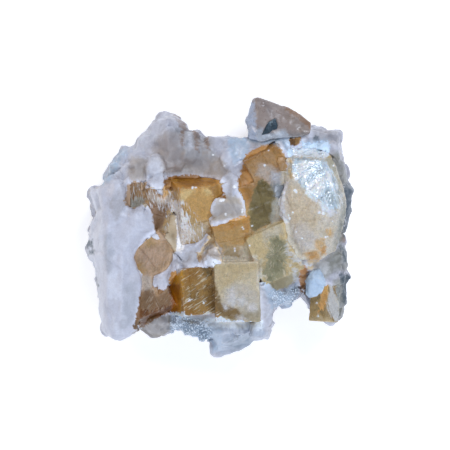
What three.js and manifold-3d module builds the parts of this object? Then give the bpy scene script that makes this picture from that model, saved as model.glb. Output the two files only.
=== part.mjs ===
// A hand specimen of honey-coloured fluorite cubes half buried in white calcite, 91 mm across.
// It lies on the flat break at its back, with the crystals up.
//
// Frame: millimetres, +Z up, origin at the middle of the base. +X runs across the specimen and
// +Y towards its upper edge. Every outline is a plan view, drawn anticlockwise or clockwise alike.

import * as THREE from 'three';
import { mergeVertices } from 'three/addons/utils/BufferGeometryUtils.js';
import Module from 'manifold-3d';

const wasm = await Module();
wasm.setup();

// ---- Driving dimensions -------------------------------------------------------------------

const GIRTH_HEIGHT = 11; // height above the flat break at which the specimen is widest
const FLANK = [ // how far the broken flank is drawn in from the outline, at each height
  [0, 6.5], [3.5, 4.2], [7, 2.0], [GIRTH_HEIGHT, 0], [15.5, 1.2], [20, 1.8], [26, 2.2],
];
const FLANK_ROUGHNESS = 1.9; // height of the lumps on that flank
const SHOULDER_DROP = 5; // fall of the upper surface over the rim
const SHOULDER_WIDTH = 4.5; // width of that rounded rim
const GROUND_STEP = 2.8; // spacing of the surface grid on the ground mass
const PLATE_STEP = 2.4; // the same on the smaller calcite plates
const LUMP_HEIGHT = 1.1; // height of the lumps on the ground mass
const LUMP_SIZE = 6.5; // distance from one lump to the next
const FIT_GAP = 0.3; // clearance between a crystal and the pocket it grew in
const SKY = 60; // above everything, for cutting upwards
const CLEAVAGE_TURN = 24; // heading of the calcite's cleavage, in degrees
const CLEAVAGE_ANGLE = 75; // the acute angle of a calcite rhomb

// ---- Small tools --------------------------------------------------------------------------

const radians = THREE.MathUtils.degToRad;

function solidFrom(geometry) {
  const bare = geometry.clone();
  bare.deleteAttribute('normal');
  bare.deleteAttribute('uv');
  const merged = mergeVertices(bare, 1e-4);
  return new wasm.Manifold(new wasm.Mesh({
    numProp: 3,
    vertProperties: merged.attributes.position.array,
    triVerts: new Uint32Array(merged.index.array),
  }));
}

function geometryFrom(solid) {
  const mesh = solid.getMesh();
  return new THREE.BufferGeometry()
    .setAttribute('position', new THREE.BufferAttribute(mesh.vertProperties, 3))
    .setIndex(new THREE.BufferAttribute(mesh.triVerts, 1));
}

const joined = (solids) => solids.reduce((whole, piece) => whole.add(piece));

// A repeatable stream of numbers from 0 to 1.
function stream(seed) {
  let state = seed >>> 0;
  return () => {
    state = (state + 0x6d2b79f5) >>> 0;
    let t = Math.imul(state ^ (state >>> 15), 1 | state);
    t = (t + Math.imul(t ^ (t >>> 7), 61 | t)) ^ t;
    return ((t ^ (t >>> 14)) >>> 0) / 4294967296;
  };
}

// Smooth noise from -1 to 1 over a plan position, one cell per unit.
function ripple(x, y, seed = 0) {
  const corner = (i, j) => stream(i * 374761 + j * 668265 + seed * 2147 + 97)() * 2 - 1;
  const [i, j] = [Math.floor(x), Math.floor(y)];
  const [u, v] = [x - i, y - j].map((t) => t * t * (3 - 2 * t));
  const low = corner(i, j) * (1 - u) + corner(i + 1, j) * u;
  const high = corner(i, j + 1) * (1 - u) + corner(i + 1, j + 1) * u;
  return low * (1 - v) + high * v;
}

// Distance from a plan position to the nearest edge of an outline.
function edgeDistance(outline, x, y) {
  let nearest = Infinity;
  outline.forEach(([ax, ay], i) => {
    const [bx, by] = outline[(i + 1) % outline.length];
    const along = ((x - ax) * (bx - ax) + (y - ay) * (by - ay)) / ((bx - ax) ** 2 + (by - ay) ** 2);
    const t = Math.min(1, Math.max(0, along));
    nearest = Math.min(nearest, Math.hypot(x - ax - t * (bx - ax), y - ay - t * (by - ay)));
  });
  return nearest;
}

// How far a surface has fallen at a distance from its rim: the whole drop at the rim, none inside.
function rimDrop(distance, drop, width) {
  const t = Math.min(1, distance / width);
  return drop * (1 - t) ** 2;
}

// Height that several ridge lines add at a plan position, each {from, to, width, rise}.
function ridges(x, y, lines) {
  return lines.reduce((sum, { from, to, width, rise }) => {
    const [dx, dy] = [to[0] - from[0], to[1] - from[1]];
    const along = ((x - from[0]) * dx + (y - from[1]) * dy) / (dx * dx + dy * dy);
    const t = Math.min(1, Math.max(0, along));
    const off = Math.hypot(x - from[0] - t * dx, y - from[1] - t * dy);
    return sum + rise * Math.max(0, 1 - off / width);
  }, 0);
}

// A closed solid between stacked rings, each with the same number of [x, y, z] points.
function loft(rings) {
  const plan = rings[0].map(([x, y]) => new THREE.Vector2(x, y));
  const forward = THREE.ShapeUtils.isClockWise(plan) ? rings.map((ring) => [...ring].reverse()) : rings;
  const count = plan.length;
  const flat = forward[0].map(([x, y]) => new THREE.Vector2(x, y));
  const cap = THREE.ShapeUtils.triangulateShape(flat, []);
  const last = (forward.length - 1) * count;
  const index = [];
  cap.forEach(([a, b, c]) => index.push(c, b, a, a + last, b + last, c + last));
  for (let r = 0; r < forward.length - 1; r += 1) {
    for (let i = 0; i < count; i += 1) {
      const [a, b] = [r * count + i, r * count + ((i + 1) % count)];
      index.push(a, b, b + count, a, b + count, a + count);
    }
  }
  return solidFrom(new THREE.BufferGeometry()
    .setAttribute('position', new THREE.Float32BufferAttribute(forward.flat(2), 3))
    .setIndex(index));
}

// An outline drawn in towards its middle by a distance, roughened, and lifted to a height.
function ringAt(outline, height, inset, rough = 0) {
  const total = outline.reduce(([sx, sy], [x, y]) => [sx + x, sy + y], [0, 0]);
  const middle = total.map((sum) => sum / outline.length);
  return outline.map(([x, y]) => {
    const reach = Math.hypot(x - middle[0], y - middle[1]);
    const broad = ripple(x / 6 + height / 7, y / 6 - height / 9, 11);
    const fine = 0.5 * ripple(x / 2.6, y / 2.6 + height, 12);
    const share = (reach - inset + Math.min(inset, rough * (broad + fine))) / reach;
    return [middle[0] + (x - middle[0]) * share, middle[1] + (y - middle[1]) * share, height];
  });
}

// The broken flank of a mass, from its flat break up past its upper surface.
function flankOf(outline, profile, rough) {
  const rings = profile.map(([height, inset]) => ringAt(outline, height, inset, inset ? rough : 0));
  const rim = rings[rings.length - 1].map(([x, y]) => [x, y, SKY]);
  return loft([...rings, rim]);
}

// Everything under a surface height(x, y), down to `bottom`, over the box around an outline.
function underSurface(outline, height, step, bottom) {
  const xs = outline.map(([x]) => x);
  const ys = outline.map(([, y]) => y);
  const [x0, y0] = [Math.min(...xs) - step, Math.min(...ys) - step];
  const nx = Math.ceil((Math.max(...xs) + step - x0) / step);
  const ny = Math.ceil((Math.max(...ys) + step - y0) / step);
  const points = [];
  for (let j = 0; j <= ny; j += 1) {
    for (let i = 0; i <= nx; i += 1) {
      const [x, y] = [x0 + i * step, y0 + j * step];
      points.push(x, y, height(x, y));
    }
  }
  const at = (i, j) => j * (nx + 1) + i;
  const index = [];
  for (let j = 0; j < ny; j += 1) {
    for (let i = 0; i < nx; i += 1) {
      const [a, b, c, d] = [at(i, j), at(i + 1, j), at(i + 1, j + 1), at(i, j + 1)];
      if ((i + j) % 2) index.push(a, b, c, a, c, d);
      else index.push(a, b, d, b, c, d);
    }
  }
  const rim = [];
  for (let i = 0; i < nx; i += 1) rim.push(at(i, 0));
  for (let j = 0; j < ny; j += 1) rim.push(at(nx, j));
  for (let i = nx; i > 0; i -= 1) rim.push(at(i, ny));
  for (let j = ny; j > 0; j -= 1) rim.push(at(0, j));
  const foot = points.length / 3;
  rim.forEach((p) => points.push(points[p * 3], points[p * 3 + 1], bottom));
  const centre = points.length / 3;
  points.push(x0 + (nx * step) / 2, y0 + (ny * step) / 2, bottom);
  rim.forEach((p, i) => {
    const n = (i + 1) % rim.length;
    index.push(p, foot + i, foot + n, p, foot + n, rim[n], centre, foot + n, foot + i);
  });
  return solidFrom(new THREE.BufferGeometry()
    .setAttribute('position', new THREE.Float32BufferAttribute(points, 3))
    .setIndex(index));
}

// A plate of rock or a free-form crystal: an outline with a drawn-in foot, cut off above by a surface.
// Grown by a clearance, it is the pocket that it sits in, which is open above.
function plate({ outline, surface, foot, flare = 1, step = PLATE_STEP, grow = 0 }) {
  const walls = loft([
    ringAt(outline, foot - grow, flare - grow),
    ringAt(outline, (foot + SKY) / 3, -grow),
    ringAt(outline, SKY, -grow),
  ]);
  return grow ? walls : walls.intersect(underSurface(outline, surface, step, foot - 1));
}

// A crystal cube: its upper face is centred at `at`, turned by `turn` degrees in plan, then leaned so
// that it rises towards the plan heading `lean.towards` by `lean.by` degrees. Growth terraces are thin
// plates left standing on the upper face.
function crystal({ at, size, turn, lean, terraces = [], grow = 0 }) {
  const axis = new THREE.Vector3(Math.sin(radians(lean.towards)), -Math.cos(radians(lean.towards)), 0);
  const pose = new THREE.Quaternion().setFromAxisAngle(axis, radians(lean.by))
    .multiply(new THREE.Quaternion().setFromAxisAngle(new THREE.Vector3(0, 0, 1), radians(turn)));
  const place = new THREE.Matrix4().compose(new THREE.Vector3(...at), pose, new THREE.Vector3(1, 1, 1));
  const block = (x, y, z, w, d, h) => solidFrom(
    new THREE.BoxGeometry(w + 2 * grow, d + 2 * grow, h + 2 * grow).translate(x, y, z).applyMatrix4(place),
  );
  const [w, d, h] = size;
  const body = block(0, 0, -h / 2, w, d, h);
  const steps = terraces.map(([x0, y0, x1, y1, rise]) => block(
    ((x0 + x1) / 2) * w, ((y0 + y1) / 2) * d, rise / 2 - 0.5, (x1 - x0) * w, (y1 - y0) * d, rise + 1,
  ));
  return joined([body, ...steps]);
}

// A calcite cleavage rhomb about `size` across, sunk into the ground mass at a plan position.
function rhomb(x, y, z, size, random) {
  const shear = 1 / Math.tan(radians(CLEAVAGE_ANGLE));
  const lean = new THREE.Matrix4().set(1, shear, shear, 0, 0, 1, shear, 0, 0, 0, 1, 0, 0, 0, 0, 1);
  const turn = radians(CLEAVAGE_TURN + 16 * (random() - 0.5));
  const pose = new THREE.Matrix4().makeRotationFromEuler(
    new THREE.Euler(0.5 * (random() - 0.5), 0.5 * (random() - 0.5), turn, 'XYZ'),
  );
  return solidFrom(new THREE.BoxGeometry(
    size * (0.8 + 0.5 * random()), size * (0.7 + 0.4 * random()), size * (0.8 + 0.4 * random()),
  ).applyMatrix4(lean).applyMatrix4(pose).translate(x, y, z));
}

// ---- The fluorite cubes -------------------------------------------------------------------
// Sizes are width, depth and height. Terraces are given as shares of the upper face, -0.5 to 0.5,
// with their rise in millimetres.

const LEFT_UPPER_CUBE = [
  { at: [-27.4, 10.7, 31.2], size: [6.4, 9.4, 8], turn: 2, lean: { towards: 175, by: 15 },
    terraces: [[-0.5, -0.5, 0.1, 0.5, 0.4]] },
];
const LEFT_LOWER_CUBES = [
  { at: [-22.6, -10.4, 30.8], size: [14.5, 13, 11], turn: 38, lean: { towards: 70, by: 12 },
    terraces: [[-0.1, -0.5, 0.5, 0.5, 0.4]] },
  { at: [-24.4, -22.6, 30.2], size: [13.5, 14, 12], turn: 24, lean: { towards: 294, by: 14 },
    terraces: [[-0.5, -0.5, 0.1, 0.5, 0.4]] },
];
const UPPER_CUBES = [
  { at: [-5.6, 3.8, 32.8], size: [16.5, 21, 17], turn: 5, lean: { towards: 135, by: 28 },
    terraces: [[-0.5, -0.1, 0.3, 0.5, 0.45], [-0.2, -0.5, 0.5, -0.25, 0.35]] },
  { at: [-20.8, 5.4, 31.2], size: [9.6, 15, 12], turn: -12, lean: { towards: 95, by: 10 },
    terraces: [[-0.5, -0.1, 0.2, 0.5, 0.4]] },
];
const MIDDLE_CUBES = [
  { // amber, at the top of the group
    at: [16.6, 19.0, 33.4], size: [13.2, 13.4, 14], turn: 28, lean: { towards: 125, by: 17 },
    terraces: [[-0.5, -0.2, 0.3, 0.5, 0.4]] },
  { // olive, below it
    at: [13.9, 7.2, 33.2], size: [12, 16.5, 14], turn: 18, lean: { towards: 198, by: 9 },
    terraces: [[-0.5, -0.5, 0.05, 0.5, 0.4]] },
  { // the centre cube
    at: [5.0, -5.6, 33.2], size: [13, 15, 13], turn: 13, lean: { towards: 100, by: 12 },
    terraces: [[-0.5, 0.1, 0.5, 0.5, 0.4]] },
  { // yellow and olive, beside it
    at: [18.3, -9.1, 34.0], size: [15, 17.4, 15], turn: 22, lean: { towards: 112, by: 8 },
    terraces: [[-0.5, 0, 0.06, 0.5, 0.5], [0.1, -0.5, 0.5, 0, 0.35]] },
  { // the broad pale face at the bottom
    at: [5.6, -22.1, 34.4], size: [15.2, 20.4, 15], turn: 1.5, lean: { towards: 70, by: 4 },
    terraces: [[-0.5, -0.1, 0.5, 0.5, 0.45], [0.15, -0.5, 0.5, -0.1, 0.3]] },
  { // the striated brown face next to it
    at: [-5.9, -21.6, 32.6], size: [15.6, 16.2, 14], turn: 5, lean: { towards: 178, by: 24 },
    terraces: [[-0.5, -0.5, -0.3, 0.5, 0.4], [0, 0.1, 0.4, 0.5, 0.4]] },
];
const CORNER_CUBE = [
  { at: [38.3, -26.2, 24.6], size: [6.4, 12.6, 8], turn: -5, lean: { towards: 178, by: 45 }, terraces: [] },
];
const SMALL_CUBE = [
  { at: [25.2, 28.2, 32.4], size: [4.6, 3.6, 5], turn: 12, lean: { towards: 100, by: 6 }, terraces: [] },
];

const crystals = (specs, grow = 0) => joined(specs.map((spec) => crystal({ ...spec, grow })));

// ---- The great pale crystal at the right ---------------------------------------------------
// A cube worn to a dome, with a stack of cleavage steps broken into its upper half.

const GREAT_OUTLINE = [
  [22.5, 23], [22, 14], [20.5, 9.5], [20, 4], [22, 1], [23, -4.5], [26.5, -10.5], [31.5, -11.5],
  [35, -10.5], [38.5, -8], [40.5, -3], [42.3, 4], [42.3, 9], [41, 14], [38.5, 21], [36, 26],
  [31.5, 27], [25, 26.5],
];
const GREAT_TOP = 38.5; // height of its crown
const GREAT_FOOT = 16;
const GREAT_STEP = 2;
const CLEAVAGE_STEPS = [ // each step falls on the upper side of a line through a point
  { through: [25.5, 21], heading: 32, drop: 0.7 },
  { through: [30.5, 12.5], heading: 38, drop: 0.9 },
  { through: [34, 9], heading: 24, drop: 0.8 },
];

function greatSurface(x, y) {
  const dome = GREAT_TOP - 0.010 * (x - 30) ** 2 - 0.007 * (y - 4) ** 2 + 0.02 * (y - 4);
  const stepped = CLEAVAGE_STEPS.reduce((fall, { through, heading, drop }) => {
    const angle = radians(heading);
    const past = -(x - through[0]) * Math.sin(angle) + (y - through[1]) * Math.cos(angle);
    return past > 0 && x > 24 ? fall + drop : fall;
  }, 0);
  return dome - stepped - rimDrop(edgeDistance(GREAT_OUTLINE, x, y), 3.4, 5);
}

const greatCrystal = (grow = 0) => plate({
  outline: GREAT_OUTLINE, surface: greatSurface, foot: GREAT_FOOT, flare: 3, step: GREAT_STEP, grow,
});

// ---- The clear calcite block at the top right, with a dark grain in it ----------------------

const BLOCK_OUTLINE = [
  [9.5, 29.5], [9.5, 34.5], [8.5, 36], [9.5, 37.5], [10, 40], [11, 43], [12.5, 43.6], [16.5, 42.4],
  [23.5, 39.8], [27, 37.8], [30.5, 34.8], [30, 31.5], [26, 30.2], [19, 30], [14, 28.6],
];
const BLOCK_FOOT = 13.3;

function blockSurface(x, y) {
  const face = 33.5 - 0.16 * (y - 30) + 0.03 * (x - 20);
  const bevel = Math.max(0, (x - 22) * 0.55 + (y - 37) * 0.95) * 0.9;
  const gable = Math.max(0, 12.5 - x) * 0.8;
  return face - bevel - gable + 0.25 * ripple(x / 4, y / 4, 3);
}

const clearBlock = (grow = 0) => plate({
  outline: BLOCK_OUTLINE, surface: blockSurface, foot: BLOCK_FOOT, flare: 1.2, step: 1.9, grow,
});

const GRAIN_OUTLINE = [[14, 31], [16.3, 35.2], [18.4, 36.4], [19.2, 34.6], [19, 33], [16.6, 31.8]];
const GRAIN_FOOT = 29.5;

const grainSurface = (x, y) => 33.3 - 0.1 * (y - 33) + 0.25 * ripple(x, y, 9);

const darkGrain = (grow = 0) => plate({
  outline: GRAIN_OUTLINE, surface: grainSurface, foot: GRAIN_FOOT, flare: 0.3, step: 1.1, grow,
});

// ---- The blue-white calcite chip at the lower right -----------------------------------------

const CHIP_OUTLINE = [
  [29, -18], [31, -15], [33.5, -14.5], [35, -17], [35.5, -19.5], [34.5, -22], [32.5, -23.5],
  [30, -24], [29, -23],
];

function chipSurface(x, y) {
  return 28.8 - rimDrop(edgeDistance(CHIP_OUTLINE, x, y), 1.6, 2) + 0.35 * ripple(x / 1.8, y / 1.8, 5);
}

const whiteChip = (grow = 0) => plate({
  outline: CHIP_OUTLINE, surface: chipSurface, foot: 20, flare: 0.8, step: 1.2, grow,
});

// ---- The calcite ground mass ----------------------------------------------------------------
// One solid: the broken base, its rough flanks, and the smooth later calcite that has grown over
// the cubes at the left and between them.

const MATRIX_OUTLINE = [
  [-20.5, 38.5], [-19, 39.5], [-16.5, 38.7], [-14.5, 38], [-13, 36.5], [-12, 33.2], [-11, 33],
  [-9, 33.6], [-8, 33], [-6, 30], [-4.5, 30.5], [0, 30.7], [5, 30.5], [9.5, 29.8], [14, 31],
  [22, 32.4], [31, 34.4], [34, 34], [36.5, 33], [40.3, 32.8], [40.6, 28.5], [42, 23.5],
  [43.5, 17.5], [44.5, 14], [45.5, 12.5], [44.5, 10.5], [44.5, 6.5], [43.8, 0], [42.5, -2.5],
  [42, -7], [43.2, -10], [43, -13.5], [44.2, -17.5], [43, -20], [43, -22.5], [42.5, -25],
  [42.5, -28], [41.5, -31], [38, -32.5], [34.5, -30.5], [31, -27.5], [29.5, -25], [28, -23],
  [27, -24], [25, -25], [24.3, -27], [23, -27.8], [19, -28], [18.3, -29.5], [18, -32], [16.5, -35],
  [15.5, -37.5], [13.8, -38.7], [11.5, -39.5], [10, -40.5], [7.5, -41.5], [3, -43], [-1, -43.6],
  [-2.5, -43], [-3, -41.5], [-3, -39], [-5.5, -38], [-8, -37.5], [-11, -37.4], [-13.5, -36],
  [-17, -36], [-20, -36.6], [-21.5, -37.5], [-24, -37.5], [-25.5, -36.5], [-27, -35.5],
  [-34, -35.5], [-38.5, -33.5], [-39.5, -25], [-41, -18], [-43, -8], [-43, -3], [-42, 4],
  [-43, 9.5], [-42, 12.5], [-40, 14.5], [-40.5, 16.5], [-39.5, 19], [-37.5, 21.5], [-36.5, 23.5],
  [-33, 26], [-30, 28], [-29, 30.5], [-27, 32], [-25, 32.5], [-23.5, 35], [-22.5, 36],
];

// Spot heights of the ground mass: [x, y, height].
const SPOT_HEIGHTS = [
  [-38, 18, 23], [-33, 23, 25], [-27, 29, 26.5], [-20, 36.5, 27.5], [-19, 29, 30.5],
  [-27, 20, 30.5], [-31, 15, 32.5], [-15, 34, 28], [-16, 23, 31.2], [-8, 31, 26.5],
  [-10, 22, 29.3], [-14, 18, 28.6], [-5, 17.5, 28.8], [2, 28, 29], [2, 19, 31], [6, 14, 32.4],
  [9, 24, 31], [15, 27.5, 32], [24, 28.5, 32], [34, 31, 30.5], [38, 29, 28.5], [40, 20, 26],
  [43, 13, 22], [43, 3, 20], [41, -5, 24], [40, -12, 25], [43, -18, 20], [37, -17, 26],
  [40, -28, 18.5], [34, -29, 17], [29, -22, 16], [27, -15, 30], [22, -25, 22.5], [16, -20.5, 31],
  [15, -29, 25.5], [12, -36, 17], [5, -34.5, 26.5], [4, -41, 14.5], [-3, -36, 22.5],
  [-8, -34, 24.5], [-8, -36.8, 16], [-14, -32.5, 27.5], [-16, -35.5, 17], [-22, -33.5, 27.5],
  [-23, -37, 18], [-30, -33, 27], [-15, -12, 30.6], [-3, -11, 31.5], [-36, -5, 29], [11, -12, 32],
  [12, 4, 32], [-27, -1, 30],
];

function spotHeight(x, y) {
  let [sum, weights] = [0, 0];
  SPOT_HEIGHTS.forEach(([sx, sy, height]) => {
    const weight = 1 / ((x - sx) ** 2 + (y - sy) ** 2 + 1.5) ** 1.7;
    sum += height * weight;
    weights += weight;
  });
  return sum / weights;
}

// Crests and furrows: the upright cleavage columns along the top edge, the crest that runs up to the
// peak, and so on. A furrow has a negative rise.
const GROUND_RIDGES = [
  { from: [-18.5, 37], to: [-17, 22], width: 3.5, rise: 2.2 },
  { from: [-11.5, 32.5], to: [-11, 24], width: 1.8, rise: 1.5 },
  { from: [-8.8, 32.5], to: [-8, 22], width: 1.6, rise: 2.2 },
  { from: [-4.5, 30], to: [-4.5, 22], width: 1.6, rise: 1.4 },
  { from: [1, 30], to: [3, 20], width: 3.2, rise: 1.2 },
  { from: [-31, 27], to: [-37, 20], width: 2.4, rise: 1.2 },
  { from: [-24.5, 33], to: [-29, 20], width: 2.4, rise: 1.3 },
  { from: [27.8, -23], to: [28.8, -15.5], width: 2.2, rise: -9 }, // the dark cleft at the lower right
];

function groundSurface(x, y) {
  const lumps = LUMP_HEIGHT * (ripple(x / LUMP_SIZE, y / LUMP_SIZE, 1) + 0.5 * ripple(x / 3, y / 3, 2));
  const rim = rimDrop(edgeDistance(MATRIX_OUTLINE, x, y), SHOULDER_DROP, SHOULDER_WIDTH);
  return spotHeight(x, y) + ridges(x, y, GROUND_RIDGES) + lumps - rim;
}

const groundMass = () => flankOf(MATRIX_OUTLINE, FLANK, FLANK_ROUGHNESS)
  .intersect(underSurface(MATRIX_OUTLINE, groundSurface, GROUND_STEP, -1));

// The ledge that carries the clear block at the top right.
const LEDGE_OUTLINE = [
  [10, 26], [10, 36.5], [12, 40.5], [16, 40], [23, 37.5], [28, 35], [31, 31], [30, 26],
];

const ledge = () => loft([
  ringAt(LEDGE_OUTLINE, 1.5, 2.4, 0.6),
  ringAt(LEDGE_OUTLINE, 6, 0.5, 0.5),
  ringAt(LEDGE_OUTLINE, BLOCK_FOOT - FIT_GAP, 0.6, 0.3),
]);

// Smooth, thick calcite grown over the left-hand cubes.
const SLAB_OUTLINE = [
  [-39.5, 14.2], [-37.5, 16.5], [-34.5, 18], [-32.5, 16.5], [-31.5, 14.5], [-32, 12.5],
  [-32.5, 10], [-31.5, 6.5], [-29.5, 6], [-27.5, 6.7], [-25.5, 8], [-24, 6.5], [-23, 4.5],
  [-22.5, 1.5], [-22, -1], [-20.8, -2.2], [-20, -4], [-20.5, -5], [-22, -4.5], [-24, -2.2],
  [-24, -3.5], [-25, -5.2], [-27.5, -7], [-29, -9.5], [-29.4, -10.7], [-28.5, -13], [-28, -15],
  [-27, -16.5], [-26.6, -19.5], [-27, -23], [-27.5, -26.5], [-27, -29], [-28, -31], [-28.5, -33],
  [-28.7, -35], [-31.5, -37], [-34, -38.7], [-35.7, -37.7], [-39, -36.5], [-39.7, -35],
  [-40, -31.5], [-40.6, -25], [-41.4, -20], [-42.2, -14.5], [-42.7, -12.3], [-44.3, -10.5],
  [-45.3, -8], [-45.4, -5.8], [-44.8, -3], [-44, 0.5], [-43.5, 4], [-44, 6.5], [-44.6, 11.5],
  [-43.5, 12.6], [-40.8, 13.1],
];
const SLAB_TOP = 35;
const SLAB_RIDGES = [
  { from: [-40.5, 11], to: [-39.5, -8], width: 2.4, rise: 1.5 },
  { from: [-39.5, -8], to: [-37.5, -34], width: 2.2, rise: 1.2 },
  { from: [-34, -13], to: [-33, -34], width: 3.5, rise: 1.3 },
  { from: [-26.5, 5], to: [-31, -4], width: 3.5, rise: 1.1 },
  { from: [-34, 15], to: [-36, 4], width: 3, rise: 0.9 },
];

function slabSurface(x, y) {
  const crestX = -40 + 0.075 * (11 - y);
  const flank = Math.max(0, crestX - x) * 1.9;
  const tail = Math.max(0, -26 - y) * 0.32;
  const head = Math.max(0, y - 9) * 0.25;
  const inner = Math.max(0, x + 30) * 0.12;
  return SLAB_TOP + ridges(x, y, SLAB_RIDGES) - flank - tail - head - inner
    + 0.5 * ripple(x / 7, y / 7, 4) - rimDrop(edgeDistance(SLAB_OUTLINE, x, y), 1.5, 2.2);
}

const SLAB_FLANK = [[1.2, 3.6], [7, 1.2], [14, 0], [24, 0.3]];

const leftSlab = () => flankOf(SLAB_OUTLINE, SLAB_FLANK, 0.7)
  .intersect(underSurface(SLAB_OUTLINE, slabSurface, PLATE_STEP, 0));

// Thin calcite plates between and over the cubes: outline, height and fall of the upper face.
const PLATES = [
  { // upright blade beside the upper cube
    outline: [
      [-24, 22.5], [-23, 24], [-21, 24], [-19.5, 23], [-19, 19.5], [-18.5, 16.5], [-18.5, 12.5],
      [-19.5, 9.5], [-21, 10.5], [-22, 12.5], [-24, 13.5], [-25, 15.5], [-25, 19],
    ],
    top: 33.6, fall: [0.12, 0.05],
  },
  { // glassy lens between the upper and amber cubes
    outline: [
      [-1, 9], [0.5, 10], [2, 9.3], [3.5, 11], [5, 13.5], [6.5, 13], [8.5, 9], [9.5, 4.5],
      [8.5, 3], [3, 2.5], [0, 1], [-3, 0], [-3.5, 1.5], [-2, 3], [-3, 4.5], [-2.5, 7],
    ],
    top: 35, fall: [0.02, 0.1],
  },
  { // strip running up from the lens
    outline: [
      [-0.5, 16], [2.5, 18.5], [6, 16.5], [6.5, 13], [5, 11.5], [3.5, 9], [2, 8.5], [1, 11],
    ],
    top: 34.2, fall: [0, -0.12],
  },
  { // jagged layer under the upper cube
    outline: [
      [-16.5, -8.5], [-14.5, -8], [-12.5, -7.3], [-10, -6.5], [-7, -6], [-5, -4.5], [-4, -2.5],
      [-3.3, -4], [-5, -6.5], [-6, -8.5], [-8, -9.5], [-7.5, -11], [-8, -12.5], [-10.5, -13.5],
      [-12.5, -14.5], [-15, -15], [-16.5, -17.5], [-17.5, -20], [-19.5, -21.5], [-21.5, -23],
      [-21, -19], [-22.5, -20.5], [-23, -19.5], [-23, -17], [-20.5, -16], [-18.5, -15],
      [-17.5, -13.5], [-16.5, -11.5],
    ],
    top: 32.8, fall: [0.08, 0.02],
  },
  { // white patch among the middle cubes
    outline: [
      [-5.5, -10.5], [-4, -8], [-2, -7], [0, -9.5], [0.5, -11.5], [-1.5, -12.5], [-3, -13.5],
      [-5, -13], [-6, -12],
    ],
    top: 34.4, fall: [0, 0],
  },
  { // film over the top of the great crystal
    outline: [
      [19.5, 24], [21, 28.5], [26, 29], [33, 28.5], [39, 27.5], [40.5, 22], [37.5, 25.5],
      [32, 27.6], [25, 27], [22, 23.6], [21.4, 19], [20.6, 19],
    ],
    top: 34.6, fall: [-0.1, -0.3],
  },
  { // translucent wing beside the lowest cube
    outline: [
      [13.2, -17], [16.5, -18.5], [18.5, -22], [18.3, -27], [17, -32], [14, -36], [11, -37],
      [12, -33], [13.3, -31],
    ],
    top: 32.5, fall: [-0.18, 0.14],
  },
];

function plateSolid({ outline, top, fall }) {
  const [ox, oy] = outline[0];
  const surface = (x, y) => top + fall[0] * (x - ox) + fall[1] * (y - oy)
    + 0.25 * ripple(x / 3, y / 3, 6) - rimDrop(edgeDistance(outline, x, y), 0.8, 1.2);
  return plate({ outline, surface, foot: 22, flare: 0.4 });
}

// Loose rhombs of calcite along the rough flanks: where they sit, how big, and how many.
const RHOMB_FIELDS = [
  { from: [-16, -33], to: [-2, -36], spread: 2.5, count: 9, size: 2.9, sink: 0.8 },
  { from: [0, -39], to: [12, -35], spread: 3, count: 5, size: 2.8, sink: 0.9 },
  { from: [19, -25], to: [26, -20.5], spread: 2.5, count: 6, size: 2.6, sink: 0.8 },
  { from: [41, 18], to: [40, -22], spread: 1.4, count: 8, size: 2.8, sink: 0.9 },
  { from: [-37, 17.5], to: [-31, 24.5], spread: 1.5, count: 4, size: 2.6, sink: 0.9 },
];

function looseRhombs() {
  const random = stream(2024);
  const rhombs = [];
  RHOMB_FIELDS.forEach(({ from, to, spread, count, size, sink }) => {
    for (let i = 0; i < count; i += 1) {
      const t = (i + random()) / count;
      const x = from[0] + (to[0] - from[0]) * t + spread * (random() - 0.5);
      const y = from[1] + (to[1] - from[1]) * t + spread * (random() - 0.5);
      rhombs.push(rhomb(x, y, groundSurface(x, y) - sink, size * (0.7 + 0.6 * random()), random));
    }
  });
  return rhombs;
}

// ---- Putting the specimen together ----------------------------------------------------------

const FLUORITE = { // each group is cut by those listed before it, which it met while both grew
  fluorite_cubes_middle: MIDDLE_CUBES,
  fluorite_cubes_upper: UPPER_CUBES,
  fluorite_cubes_left_lower: LEFT_LOWER_CUBES,
  fluorite_cube_left_upper: LEFT_UPPER_CUBE,
  fluorite_cube_corner: CORNER_CUBE,
  fluorite_cube_small: SMALL_CUBE,
};
const FREE_FORMS = {
  fluorite_crystal_great: greatCrystal,
  dark_grain: darkGrain,
  calcite_block_clear: clearBlock,
  calcite_chip_white: whiteChip,
};

const solids = {};
const pockets = {};
const cutByNeighbours = (solid) => Object.values(pockets)
  .reduce((rest, pocket) => rest.subtract(pocket), solid);
Object.entries(FREE_FORMS).forEach(([name, make]) => {
  solids[name] = cutByNeighbours(make());
  pockets[name] = make(FIT_GAP);
});
Object.entries(FLUORITE).forEach(([name, cubes]) => {
  solids[name] = cutByNeighbours(crystals(cubes));
  pockets[name] = crystals(cubes, FIT_GAP);
});

const calcite = joined([groundMass(), ledge(), leftSlab(), ...PLATES.map(plateSolid), ...looseRhombs()]);
solids.calcite_matrix = cutByNeighbours(calcite);

// ---- Materials and the exported group -------------------------------------------------------

const finish = (color, roughness) => new THREE.MeshStandardMaterial({ color, roughness, metalness: 0 });
const FINISHES = {
  calcite_matrix: finish(0xc9cbd8, 0.6),
  calcite_block_clear: finish(0xa8a2a6, 0.3),
  calcite_chip_white: finish(0xbfd2e6, 0.7),
  dark_grain: finish(0x2a3a44, 0.35),
  fluorite_crystal_great: finish(0xcfc3a8, 0.3),
  fluorite_cube_left_upper: finish(0x9a7a55, 0.4),
  fluorite_cubes_left_lower: finish(0x9c7c5c, 0.4),
  fluorite_cubes_upper: finish(0xc39a5a, 0.35),
  fluorite_cubes_middle: finish(0xb08a50, 0.35),
  fluorite_cube_corner: finish(0xa88a58, 0.35),
  fluorite_cube_small: finish(0x7a5020, 0.4),
};

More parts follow.
